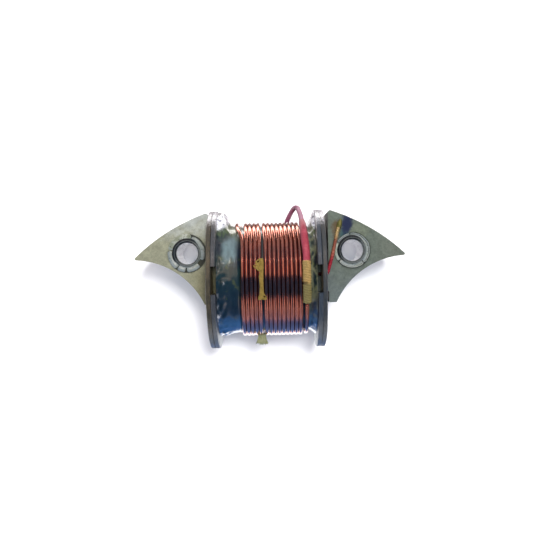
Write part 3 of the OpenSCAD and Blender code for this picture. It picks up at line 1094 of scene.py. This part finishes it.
def around_hole(centre_x, radius, angle, height):
    """A point round a hole, with radius and height over the core's face in millimetres."""
    turn = math.radians(angle)
    return Vector((
        centre_x + radius * MM * math.cos(turn), radius * MM * math.sin(turn), FACE_Z + height * MM))


def add_petal(shape, centre_x, start, end, outer_r, profile, finish, seed):
    """One petal of the cracked flange, pressed down on the core's face."""
    steps = max(int((end - start) / 3), 5)
    across = [i / 14 for i in range(15)]
    rows = []
    for j in range(steps + 1):
        share = j / steps
        from_end = min(share, 1 - share) * (end - start)
        slump = 0.12 * (1 - ease(from_end, 0, 5))
        row = []
        for s in across:
            angle = start + (end - start) * share
            if j in (0, steps):
                angle += 2.0 * wander(seed, s * 2.4, j)
            rim = outer_r + 0.07 * wander(seed + 3, angle / 24) - 0.2 * (1 - ease(from_end, 0, 4))
            dent = 0.025 * wander(seed + 5, angle / 22, s * 1.6)
            height = max(along_points(profile, s) - slump + dent, 0.04)
            row.append(around_hole(centre_x, PETAL_ROOT_R + (rim - PETAL_ROOT_R) * s, angle, height))
        for corner in (row[-1], row[0]):
            row.append(Vector((corner.x, corner.y, FACE_Z + PETAL_FOOT * MM)))
        rows.append(row)
    first, width = len(shape.points), len(rows[0])
    shape.grid(rows, finish, closed=True)
    last = first + (len(rows) - 1) * width
    shape.cap([first + k for k in range(width)], finish)
    shape.cap([last + k for k in reversed(range(width))], finish)


def make_eyelet(side, settings, finishes):
    """A tube with a flush head behind and a rolled lip in front, and the petals of its flange."""
    name = "eyelet_left" if side < 0 else "eyelet_right"
    centre_x = middle(name).x
    bore, outer = settings.bore_r / MM, (settings.bore_r + settings.wall) / MM
    head, back = settings.head_r / MM, -FACE_Z / MM
    roll_r, top = 0.40, settings.lip_h / MM
    profile = [(bore + 0.12, back), (bore, back + 0.12)]
    profile += [(bore, back + part * -back / 10) for part in range(1, 10)] + [(bore, -0.05)]
    for part in range(9):
        turn = math.pi * (1 - part / 8)
        profile.append((bore + roll_r + roll_r * math.cos(turn), top - roll_r + roll_r * math.sin(turn)))
    profile += [(bore + 2 * roll_r, 0.0), (outer, -0.02), (outer, back + 1), (head, back + 0.99)]
    profile += [(head, back + 0.15), (head - 0.12, back)]
    rows = []
    for step in range(120):
        angle = step * 3
        sag = 0.04 * wander(11 + side, angle / 16)
        rows.append([
            around_hole(centre_x, r, angle, h + (sag if h > 0.05 else 0)) for r, h in profile
        ])
    shape = Shape()
    shape.grid(rows, 0, closed=True, looped=True)
    petals = LEFT_PETALS if side < 0 else RIGHT_PETALS
    for number, (start, end, rim, form, finish) in enumerate(petals):
        add_petal(shape, centre_x, start, end, rim, form, finish, 20 + number * 3 + side)
    obj = shape.build(name + "_rolled", finishes, "eyelet_steel", [name])
    obj.data.set_sharp_from_angle(angle=math.radians(50))


def make_eyelets(settings):
    """Both eyelets, in clean plating and in the duller plating of the petals that were pressed flat."""
    metal = tuple(settings.zinc)
    finishes = [
        zinc_finish("eyelet_zinc", metal, 0.35),
        zinc_finish("eyelet_flattened_zinc", display(158, 166, 156), 0.7),
    ]
    for side in (-1, 1):
        make_eyelet(side, settings, finishes)


# ---------------------------------------------------------------- cheeks

CHEEK_SLOT_HALF = 3.25 * MM
CHEEK_SLOT_START = 7.05 * MM
CHEEK_SPARE = 0.04 * MM
# Across a disc's rim: share of the thickness, and how far the rim draws in, as a share of its rounding
RIM = [
    (0, 1), (0.04, 0.35), (0.12, 0.04), (0.26, 0), (0.4, 0.1), (0.52, 0), (0.66, 0.08), (0.8, 0),
    (0.88, 0.04), (0.96, 0.35), (1, 1),
]


def cheek_outline(radius, way):
    """Points and outward directions round a slotted disc, in its own plane."""
    open_angle = math.asin(CHEEK_SLOT_HALF / radius)
    steps, wall = 220, 16
    outline = []
    for i in range(steps + 1):
        turn = open_angle + (TAU - 2 * open_angle) * i / steps
        across, up = math.sin(turn), math.cos(turn)
        outline.append((radius * across, radius * up, across, up))
    top, floor = radius * math.cos(open_angle), -CHEEK_SLOT_START
    for i in range(1, wall):
        outline.append((-CHEEK_SLOT_HALF, top + (floor - top) * i / wall, 1, 0))
    for i in range(1, 8):
        outline.append((-CHEEK_SLOT_HALF + 2 * CHEEK_SLOT_HALF * i / 8, floor, 0, 1))
    for i in range(1, wall):
        outline.append((CHEEK_SLOT_HALF, floor + (top - floor) * i / wall, -1, 0))
    return [(y, z * way, ny, nz * way) for y, z, ny, nz in outline]


def make_cheek(node, way, settings, finish, slot, seed):
    """A fibre disc with a slot for the core's bar, its rim rough and slightly split into layers."""
    low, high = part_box(node)
    radius = (high.y - low.y) / 2
    rows = []
    for number, (y, z, ny, nz) in enumerate(cheek_outline(radius - CHEEK_SPARE, way)):
        outward = (y * y + z * z) / radius ** 2
        row = []
        for share, drawn in RIM:
            rough = 0.035 * MM * wander(seed, number / 3.0, share * 5)
            inset = settings.rim_round * drawn + abs(rough) + 0.03 * MM * wander(seed + 2, number / 16)
            bend = settings.warp * wander(seed + 4, y / (9 * MM), z / (9 * MM)) * outward
            x = low.x + (high.x - low.x) * share + bend
            row.append(Vector((x, AXIS.y + y - ny * inset, AXIS.z + z - nz * inset)))
        rows.append(row)
    shape = Shape()
    shape.grid(rows, 0, looped=True)
    width = len(RIM)
    shape.cap(i * width for i in range(len(rows)))
    shape.cap(i * width + width - 1 for i in range(len(rows)))
    obj = shape.build(node + "_fibre", [finish], slot, [node])
    obj.data.set_sharp_from_angle(angle=math.radians(55))


def make_cheeks(settings):
    """Two discs on each side: pressboard outside with its slot open to the back, and fibre inside."""
    board = board_finish("olive_pressboard", tuple(settings.board), display(78, 68, 48), 0.8)
    fibre = board_finish("lavender_fibre", tuple(settings.fibre), display(68, 68, 70), 1.0)
    for number, (node, way, finish, slot) in enumerate((
        ("cheek_left_outer", -1, board, "cheek_board"), ("cheek_left_inner", 1, fibre, "cheek_ply"),
        ("cheek_right_inner", 1, fibre, "cheek_ply"), ("cheek_right_outer", -1, board, "cheek_board"),
    )):
        make_cheek(node, way, settings, finish, slot, 40 + number * 7)


def make_inside():
    """Finishes for what lies under the outer layer; their CAD shapes stay."""
    tan = fibre_finish("packing_fibre", display(168, 142, 104), 1.2)
    kraft = fibre_finish("kraft_paper", display(176, 148, 104), 0.8)
    wire = enamel_finish("inner_enamel", display(132, 64, 42), display(52, 22, 16))
    for node in ("core_packing_upper", "core_packing_lower"):
        refinish(node, tan)
    for node in ("core_insulation", "layer_paper_1", "layer_paper_2", "layer_paper_3"):
        refinish(node, kraft)
    refinish("inner_winding", wire)


# ---------------------------------------------------------------- windings

# Radius of the wrap along the coil where it lies quietly, in millimetres
WRAP_FORM = [
    (-12.65, 13.6), (-11.8, 13.45), (-10.2, 13.41), (-8.3, 13.41), (-7.75, 13.25), (-7.35, 13.42),
    (-7.05, 13.2), (-6.8, 13.14), (7.5, 13.14), (7.9, 12.96), (8.4, 12.91), (9.8, 12.91), (10.4, 13.05),
    (11.1, 13.5),
]
WRAP_START, WRAP_END = (corner.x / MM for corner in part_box("cambric_wrap"))
WRAP_BACK_R, WRAP_FACE_R = 12.72, 13.2
LAP_ANGLE = 205


def collar(x, angle):
    """How far the wrap's edges turn up against the cheeks, mostly over the top edge."""
    left = 2.9 * ease(-x, 8.9, 11.4)
    right = 2.9 * ease(x, 9.2, 10.8)
    return (left + right) * (0.04 + 0.96 * ease(angle, 46, 80)) * (1 - ease(angle, 118, 150) * 0.8)


def wrap_radius(x, angle, settings):
    """Radius of the varnished cloth at a place along the coil (millimetres) and round it (degrees)."""
    radius = along_points(WRAP_FORM, x)
    free = ease(-x, 6.9, 7.6) + ease(x, 7.7, 8.3)
    turn = math.radians(angle)
    round_x, round_y = math.cos(turn) * 2.2, math.sin(turn) * 2.2
    ripple = noise.noise(Vector((x / 2.6, round_x, round_y)))
    crinkle = noise.noise(Vector((x / 0.9, round_x * 4, round_y * 4)))
    edges = ease(abs(x), 9.5, 11.8)
    radius += settings.ripple / MM * free * (ripple * 0.9 + crinkle * (0.25 + 0.9 * edges))
    turned_up = collar(x, angle % 360)
    radius += turned_up * (1 + 0.24 * crinkle)
    since_lap = ((angle - LAP_ANGLE) % 360) / 360
    return radius + settings.lap_step / MM * free * (since_lap - 0.5)


def make_cambric(settings):
    """The wrap: pressed flat under the outer layer, rippled beside it, turned up at the cheeks."""
    across = 104
    columns = [WRAP_START + (WRAP_END - WRAP_START) * i / across for i in range(across + 1)]
    rows = []
    steps = 300
    for step in range(steps):
        angle = LAP_ANGLE + 360 * step / steps
        row = [on_winding(x * MM, wrap_radius(x, angle, settings) * MM, angle) for x in columns]
        row.append(on_winding(columns[-1] * MM, WRAP_BACK_R * MM, angle))
        row.append(on_winding(columns[0] * MM, WRAP_BACK_R * MM, angle))
        rows.append(row)
    shape = Shape()
    shape.grid(rows, closed=True, looped=True)
    obj = shape.build("cambric_wrap_varnished", [cambric_finish(settings)], "cambric", ["cambric_wrap"])
    obj.data.set_sharp_from_angle(angle=math.radians(50))


# In degrees round the coil: where the wire comes up, where each turn crosses to the next, where it ends
DIVE_ANGLE = -150
JOG_START, JOG_END = 92, 148
RUN_END_ANGLE = -24
# In millimetres: how far the turns lean left over the top edge, and the place of the run to the splice
LEAN, FIRST_LEAN = 0.42, 1.5
RUN_X = 8.6
RUN_R = 13.41
WINDING_STEP = 4


def winding_path(settings):
    """The outer layer as one wire: up at the back, across to the next turn over the top edge, and on to
    the splice."""
    wire_d, turns = settings.wire_d / MM, settings.turns
    layer_r = OUTER_FACE_R / MM - wire_d / 2
    places = [
        settings.first_x / MM + i * settings.pitch / MM
        + (settings.tape_gap / MM if i >= settings.turns_before_tape else 0)
        for i in range(turns)
    ] + [RUN_X]
    path = []
    angle = DIVE_ANGLE
    dents = random.Random(5)
    dent_at = [32 + dents.uniform(-3, 3) for _ in places]
    dent_h = [0.045 * dents.random() for _ in places]
    while angle <= 360 * turns + RUN_END_ANGLE:
        turn = max(int((angle + 180) // 360), 0)
        here = angle - 360 * turn
        x, radius = places[min(turn, turns)], layer_r
        if here > JOG_START and turn < turns:
            last = turn == turns - 1
            over = ease(here, JOG_START, 180 if last else JOG_END)
            x += (places[turn + 1] - x) * over
        if turn < turns:
            x -= (FIRST_LEAN if turn == 0 else LEAN) * ease(here, 38, 76) * (1 - ease(here, 86, 130))
        if turn == turns or (turn == turns - 1 and here > 120):
            spread = angle - 360 * (turns - 1)
            radius += (RUN_R - layer_r) * ease(spread, 120, 240)
        if turn == turns:
            x = RUN_X
        radius -= 1.25 * (1 - ease(angle, DIVE_ANGLE, DIVE_ANGLE + 45))
        quiet = 1 if turn < turns else 0.3
        x += 0.03 * quiet * wander(3, angle / 130, turn * 1.7)
        radius += 0.025 * quiet * wander(9, angle / 70, turn * 2.3)
        if turn < turns:
            radius += dent_h[turn] * hump(here, dent_at[turn], 2.2)
        path.append(on_winding(x * MM, radius * MM, angle))
        angle += WINDING_STEP
    return path


def make_winding(settings):
    """The outer layer of enamelled wire, swept along its path."""
    radius = settings.wire_d / 2
    shape = Shape()
    shape.tube(
        winding_path(settings), lambda share, turn: radius * (1 + 0.02 * wander(2, share * 900)),
        sides=14)
    finish = enamel_finish("copper_enamel", tuple(settings.enamel), display(96, 44, 34))
    shape.build("outer_winding_wire", [finish], "outer_wire", ["outer_winding"])


# ---------------------------------------------------------------- tie tape

TAPE_FOOT, TAPE_HEAD = -19.5, 20.5
# Left and right edges of the tape down the front, as (angle, millimetres along the coil)
TAPE_LEFT = [
    (-19.5, -2.85), (-17, -2.9), (-14, -2.62), (-6, -2.5), (3, -2.66), (7, -2.45), (9.5, -3.1),
    (11, -3.7), (13.5, -3.9), (15, -3.35), (17, -3.5), (19, -3.0), (20.5, -2.5),
]
TAPE_RIGHT = [
    (-19.5, -0.85), (-17, -0.8), (-14.5, -1.25), (-12, -1.5), (-2, -1.55), (8, -1.5), (14, -1.42),
    (18, -1.45), (20.5, -1.62),
]
# Its worn holes: angle, share of the way across, half height in degrees and half width as a share
TAPE_HOLES = [(17.2, 0.34, 1.1, 0.10), (12.8, 0.16, 0.9, 0.07), (-16.6, 0.74, 0.9, 0.14)]


def tape_lift(angle, share):
    """Height of the tape over the turns, in millimetres: bunched at its top, thin down its middle."""
    knot = ease(angle, 6, 11)
    foot = 1 - ease(angle, -17.5, -13)
    bunch = 0.16 * abs(wander(61, angle / 2.4, share * 3.2)) * (knot + 0.5 * foot)
    fold = 0.10 * hump(share, 0.12, 0.16) * (1 - knot)
    edge = -0.06 * (1 - ease(min(share, 1 - share), 0, 0.12))
    thread = 0.035 * wander(63, angle / 0.8, share * 7)
    return 0.12 + bunch + fold + edge + thread


def make_tape(settings):
    """Cotton tape over the outer layer: a bunched knot, a narrow strip, a torn foot and a tail."""
    layer_r = OUTER_FACE_R / MM
    across, step = 16, 0.4
    rows, angles = [], []
    angle = TAPE_FOOT
    while angle <= TAPE_HEAD:
        left, right = along_points(TAPE_LEFT, angle), along_points(TAPE_RIGHT, angle)
        left += 0.10 * wander(51, angle / 1.1)
        right += 0.06 * wander(52, angle / 1.3)
        row = []
        for k in range(across + 1):
            share = k / across
            x = left + (right - left) * share
            lift = tape_lift(angle, share)
            row.append(on_winding(x * MM, (layer_r + lift) * MM, angle))
        rows.append(row)
        angles.append(angle)
        angle += step

    def in_hole(i, k):
        """Whether a face of the grid lies in one of the holes."""
        for hole_angle, hole_share, high, wide in TAPE_HOLES:
            tall = (angles[i] - hole_angle) / high
            broad = ((k + 0.5) / across - hole_share) / wide
            if tall * tall + broad * broad < 1:
                return True
        return False

    shape = Shape()
    shape.grid(rows, skip=in_hole)
    finish = cotton_finish("cotton_tape", tuple(settings.cotton), display(84, 70, 26))
    strip = shape.build("tie_tape_strip", [finish], "cotton_tape", ["tie_tape"])
    modifier(strip, "SOLIDIFY", thickness=0.16 * MM, offset=-1)
    modifier(strip, "SUBSURF", levels=1, render_levels=1)
    make_tail(settings)


TAIL_LENGTH = 3.4 * MM
TAIL_X = -2.35 * MM
TAIL_THREADS = 26


def make_tail(settings):
    """The tape's end below the winding: a strip of cloth frayed into threads."""
    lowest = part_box("tie_tape")[0].y
    top_y, mid_x, base_z = lowest + TAIL_LENGTH, TAIL_X, AXIS.z + 1.0 * MM
    tail = Shape()
    draw = random.Random(17)
    for number in range(TAIL_THREADS):
        share = number / (TAIL_THREADS - 1)
        start_x = mid_x + (share - 0.5) * 1.5 * MM
        reach = draw.uniform(2.3, 3.3) * MM * (0.8 + 0.2 * math.sin(math.pi * share))
        spread = (share - 0.5) * draw.uniform(0.9, 1.5) * MM
        lift = draw.uniform(-0.25, 0.35) * MM
        wave = draw.uniform(-0.18, 0.18) * MM
        path = []
        for i in range(9):
            t = i / 8
            path.append(Vector((
                start_x + spread * t * t + wave * math.sin(t * 5),
                max(top_y - reach * t, lowest),
                base_z + draw.uniform(-0.02, 0.02) * MM + 0.35 * MM * math.sin(t * 2.2) + lift * t,
            )))
        thick = draw.uniform(0.10, 0.17) * MM
        tail.tube(path, lambda share, turn, r=thick: r * (1 - 0.35 * share), sides=6)
    rows = []
    for i in range(12):
        t = i / 11
        row = []
        for k in range(11):
            share = k / 10
            x = mid_x + (share - 0.5) * (1.6 + 1.2 * t) * MM + 0.05 * MM * wander(71, t * 4, share * 4)
            y = top_y - (2.55 + 0.45 * wander(72, share * 6)) * t * MM
            z = base_z + (0.35 * math.sin(t * 2.2) + 0.10 * wander(73, t * 3, share * 5)) * MM
            row.append(Vector((x, y, z)))
        rows.append(row)
    cloth = Shape()
    cloth.grid(rows)
    finish = cotton_finish("cotton_tail", tuple(settings.tail_cotton), display(106, 110, 62))
    tail.build("tie_tape_threads", [finish], "cotton_tape")
    end = cloth.build("tie_tape_tail", [finish], "cotton_tape")
    modifier(end, "SOLIDIFY", thickness=0.14 * MM, offset=0)


# ---------------------------------------------------------------- splice and leads

# In degrees round the coil
SPLICE_START, SPLICE_END = -23, 16.9
SPLICE_CREASE = -4.5
# In millimetres: the sleeve's distance from the winding's axis, and its weave
SPLICE_R = RUN_R + 0.55
RIB_PITCH = 0.56
YARN_R = 0.13 * MM


def splice_path(steps):
    """Middle of the splice's sleeve, up the front of the coil."""
    return [
        on_winding(RUN_X * MM, SPLICE_R * MM, SPLICE_START + (SPLICE_END - SPLICE_START) * i / steps)
        for i in range(steps + 1)
    ]


def splice_girth(share):
    """Share of the sleeve's full width along the splice: open ends, and pinched at the crease."""
    crease = (SPLICE_CREASE - SPLICE_START) / (SPLICE_END - SPLICE_START)
    flare = 0.05 * (1 - ease(share, 0, 0.08)) + 0.04 * ease(share, 0.93, 1)
    return 0.94 + flare - 0.15 * hump(share, crease, 0.03) + 0.03 * wander(81, share * 9)


def make_splice(settings):
    """A sleeve braided from two sets of yarns that cross over and under each other."""
    steps, yarns, twists = 150, 9, 2.4
    frames = frames_along(splice_path(steps))
    outer = settings.splice_d / 2 - YARN_R * 1.2
    shape = Shape()
    for way in (-1, 1):
        for number in range(yarns):
            path = []
            phase = math.pi * (number if way > 0 else number + 1)
            for i, (point, _, side, up) in enumerate(frames):
                share = i / steps
                turn = way * (TAU * twists * share) + TAU * number / yarns
                weave = math.sin(twists * yarns * TAU * share + phase)
                r = outer * splice_girth(share) + YARN_R * 0.45 * weave
                path.append(point + side * (r * math.cos(turn)) + up * (r * math.sin(turn)))
            shape.tube(path, lambda share, turn: YARN_R, sides=7)
    # Painted shade: the dark core tube inside the braid shows in the gaps between the yarns
    shape.tube(
        splice_path(steps), lambda share, turn: (outer - YARN_R * 0.5) * splice_girth(share),
        sides=20, finish=1)
    finish = cotton_finish(
        "splice_yarn", tuple(settings.yarn), tuple(settings.stained_yarn),
        split=(math.radians(SPLICE_CREASE + 0.6), math.radians(SPLICE_CREASE - 0.6)))
    # The core tube's finish: painted shade in dark brown
    soaked = cotton_finish("splice_gap_shade", display(74, 58, 30), display(40, 32, 20))
    shape.build("splice_sleeve_braid", [finish, soaked], "woven_sleeve", ["splice_sleeve"])


def make_lead(settings):
    """The insulated lead, which is the free cord, its twisted bare end and its red sleeve."""
    lead_points = smooth_route(LEAD_ROUTE, 5)
    curve = bpy.data.curves.new("lead_cord", "CURVE")
    curve.dimensions = "3D"
    curve.bevel_depth = settings.lead_d / 2
    curve.bevel_resolution = 4
    curve.use_fill_caps = True
    spline = curve.splines.new("POLY")
    spline.points.add(len(lead_points) - 1)
    for spot, point in zip(spline.points, lead_points):
        spot.co = (*point, 1)
    spline.use_smooth = True
    curve.materials.append(sleeve_finish(
        "lead_insulation", tuple(settings.insulation), display(160, 100, 124), 0.15))
    lead = place(bpy.data.objects.new("lead_cord", curve), "lead_insulation", ["lead_wire"])

    tip = Shape()
    low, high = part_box("lead_tip")
    centre = middle("lead_tip")
    strand_r = settings.tip_d / 6
    steps, twists = 40, 1.6
    for number in range(7):
        off = 0 if number == 6 else 2 * strand_r
        path = []
        for i in range(steps + 1):
            turn = TAU * (number / 6 + twists * i / steps)
            y = low.y + (high.y - low.y) * i / steps
            path.append(Vector((centre.x + off * math.cos(turn), y, centre.z + off * math.sin(turn))))
        tip.tube(path, lambda share, turn: strand_r, sides=8)
    tinned = tinned_finish("tinned_strands", display(198, 192, 182))
    bare = tip.build("lead_bare_end", [tinned], "tinned_copper", ["lead_tip"])

    make_red_sleeve(settings)


def make_red_sleeve(settings):
    """The red sleeve from the splice over the top edge, open below and tapered on the lead."""
    half, wall, mouth_depth, sides = settings.sleeve_d / 2, 0.22 * MM, 0.9 * MM, 24
    frames = frames_along(smooth_route(SLEEVE_ROUTE, 8))
    rows = []
    for i, (point, ahead, side, up) in enumerate(frames):
        share = i / (len(frames) - 1)
        girth = along_points(SLEEVE_TAPER, share) * half
        row = []
        for k in range(sides):
            turn = TAU * k / sides
            dimple = 1 + 0.03 * wander(91, share * 6, math.sin(turn))
            row.append(point + (side * math.cos(turn) + up * math.sin(turn)) * girth * dimple)
        rows.append(row)
    first_point, first_ahead = frames[0][:2]
    mouth = []
    for depth in (mouth_depth, 0.0):
        ring = []
        for spot in rows[0]:
            out = (spot - first_point).normalized()
            ring.append(spot - out * wall + first_ahead * depth)
        mouth.append(ring)
    shape = Shape()
    shape.grid(mouth + rows, closed=True)
    last = (len(mouth) + len(rows) - 1) * sides
    shape.cap(last + k for k in range(sides))
    shape.cap(reversed(range(sides)))
    red = sleeve_finish("red_sleeving", tuple(settings.red), display(156, 76, 88), 0.12)
    sleeve = shape.build("lead_sleeve_red", [red], "red_sleeving", ["lead_sleeve"])
    sleeve.data.set_sharp_from_angle(angle=math.radians(50))


def make_earth(settings):
    """The earth wire from the cheek up the right ear, and the solder that holds it there."""
    half = settings.earth_d / 2
    shape = Shape()
    shape.tube(
        smooth_route(EARTH_ROUTE, 6),
        lambda share, turn: half * (1 + 0.03 * wander(95, share * 14, math.sin(turn))), sides=14)
    shape.build("earth_lead_wire", [earth_finish()], "earth_wire", ["earth_lead"])

    end, before = Vector(EARTH_ROUTE[-1]) * MM, Vector(EARTH_ROUTE[-2]) * MM
    along = (end - before).normalized()
    side = Vector((along.y, -along.x, 0))
    lump_middle = end + along * 0.35 * MM + side * 0.12 * MM
    half_length, half_width, lump_height = 1.75 * MM, 0.66 * MM, 0.72 * MM
    rings, sides = 12, 36
    rows = []
    for ring in range(rings + 1):
        reach = ring / rings
        row = []
        for k in range(sides):
            turn = TAU * k / sides
            rough = 1 + 0.16 * wander(97, math.cos(turn) * 1.6, math.sin(turn) * 1.6)
            a = half_length * reach * rough * math.cos(turn)
            b = half_width * reach * rough * math.sin(turn)
            height = lump_height * max(1 - reach ** 2.2, 0) ** 0.8
            height *= 1 + 0.22 * wander(98, a / (0.7 * MM), b / (0.5 * MM))
            spot = lump_middle + along * a + side * b
            row.append(Vector((spot.x, spot.y, FACE_Z + height - 0.01 * MM)))
        rows.append(row)
    lump = Shape()
    lump.grid(rows, closed=True)
    lump.cap(rings * sides + k for k in range(sides))
    solder = tinned_finish("solder_and_flux", display(156, 150, 84))
    made = lump.build("solder_joint_lump", [solder], "solder", ["solder_joint"])
    modifier(made, "WELD", merge_threshold=0.001 * MM)


# ---------------------------------------------------------------- operators, panel and registration

class COIL_OT_stage(Operator):
    """Sets the camera, the lights, the sky and the floor"""
    bl_idname = "coil.stage"
    bl_label = "Stage"

    def execute(self, context):
        make_stage(context.scene.coil.stage)
        return {"FINISHED"}


class COIL_OT_leads(Operator):
    """Makes the red sleeve, the free lead and its bare end"""
    bl_idname = "coil.leads"
    bl_label = "Lead"

    def execute(self, context):
        make_lead(context.scene.coil.leads)
        return {"FINISHED"}


class COIL_OT_core(Operator):
    """Rounds the laminations' edges and plates their faces"""
    bl_idname = "coil.core"
    bl_label = "Laminated core"

    def execute(self, context):
        make_core(context.scene.coil.core)
        return {"FINISHED"}


class COIL_OT_eyelets(Operator):
    """Makes the two eyelets with their cracked flanges"""
    bl_idname = "coil.eyelets"
    bl_label = "Eyelets"

    def execute(self, context):
        make_eyelets(context.scene.coil.eyelets)
        return {"FINISHED"}


class COIL_OT_cheeks(Operator):
    """Makes the four slotted cheek discs"""
    bl_idname = "coil.cheeks"
    bl_label = "Cheeks"

    def execute(self, context):
        make_cheeks(context.scene.coil.cheeks)
        return {"FINISHED"}


class COIL_OT_inside(Operator):
    """Finishes the packing, the papers and the inner winding"""
    bl_idname = "coil.inside"
    bl_label = "Inside"

    def execute(self, context):
        make_inside()
        return {"FINISHED"}


class COIL_OT_cambric(Operator):
    """Makes the varnished cambric wrap"""
    bl_idname = "coil.cambric"
    bl_label = "Cambric wrap"

    def execute(self, context):
        make_cambric(context.scene.coil.cambric)
        return {"FINISHED"}


class COIL_OT_winding(Operator):
    """Winds the outer layer of wire"""
    bl_idname = "coil.winding"
    bl_label = "Outer winding"

    def execute(self, context):
        make_winding(context.scene.coil.winding)
        return {"FINISHED"}


class COIL_OT_tape(Operator):
    """Lays the tie tape over the outer layer and frays its tail"""
    bl_idname = "coil.tape"
    bl_label = "Tie tape"

    def execute(self, context):
        make_tape(context.scene.coil.tape)
        return {"FINISHED"}


class COIL_OT_splice(Operator):
    """Braids the sleeve over the splice"""
    bl_idname = "coil.splice"
    bl_label = "Splice"

    def execute(self, context):
        make_splice(context.scene.coil.leads)
        return {"FINISHED"}


class COIL_OT_earth(Operator):
    """Makes the earth wire and its solder joint"""
    bl_idname = "coil.earth"
    bl_label = "Earth wire"

    def execute(self, context):
        make_earth(context.scene.coil.leads)
        return {"FINISHED"}


OPERATORS = (
    COIL_OT_stage, COIL_OT_leads, COIL_OT_core, COIL_OT_eyelets, COIL_OT_cheeks, COIL_OT_inside,
    COIL_OT_cambric, COIL_OT_winding, COIL_OT_tape, COIL_OT_splice, COIL_OT_earth,
)


class COIL_PT_panel(Panel):
    """Lists the coil's pieces, in the order that they are made"""
    bl_idname = "COIL_PT_panel"
    bl_label = "Stator source coil"
    bl_space_type = "VIEW_3D"
    bl_region_type = "UI"
    bl_category = "Coil"

    def draw(self, context):
        for operator in OPERATORS:
            self.layout.operator(operator.bl_idname)


SETTINGS = (
    StageSettings, CoreSettings, EyeletSettings, CheekSettings, CambricSettings, WindingSettings,
    TapeSettings, LeadSettings, CoilSettings,
)


def register():
    for kind in SETTINGS + OPERATORS + (COIL_PT_panel,):
        bpy.utils.register_class(kind)
    bpy.types.Scene.coil = PointerProperty(type=CoilSettings)


def unregister():
    del bpy.types.Scene.coil
    for kind in reversed(SETTINGS + OPERATORS + (COIL_PT_panel,)):
        bpy.utils.unregister_class(kind)


def main():
    register()
    bpy.ops.coil.stage()
    bpy.ops.coil.leads()
    bpy.ops.coil.core()
    bpy.ops.coil.eyelets()
    bpy.ops.coil.cheeks()
    bpy.ops.coil.inside()
    bpy.ops.coil.cambric()
    bpy.ops.coil.winding()
    bpy.ops.coil.tape()
    bpy.ops.coil.splice()
    bpy.ops.coil.earth()


if __name__ == "__main__":
    main()
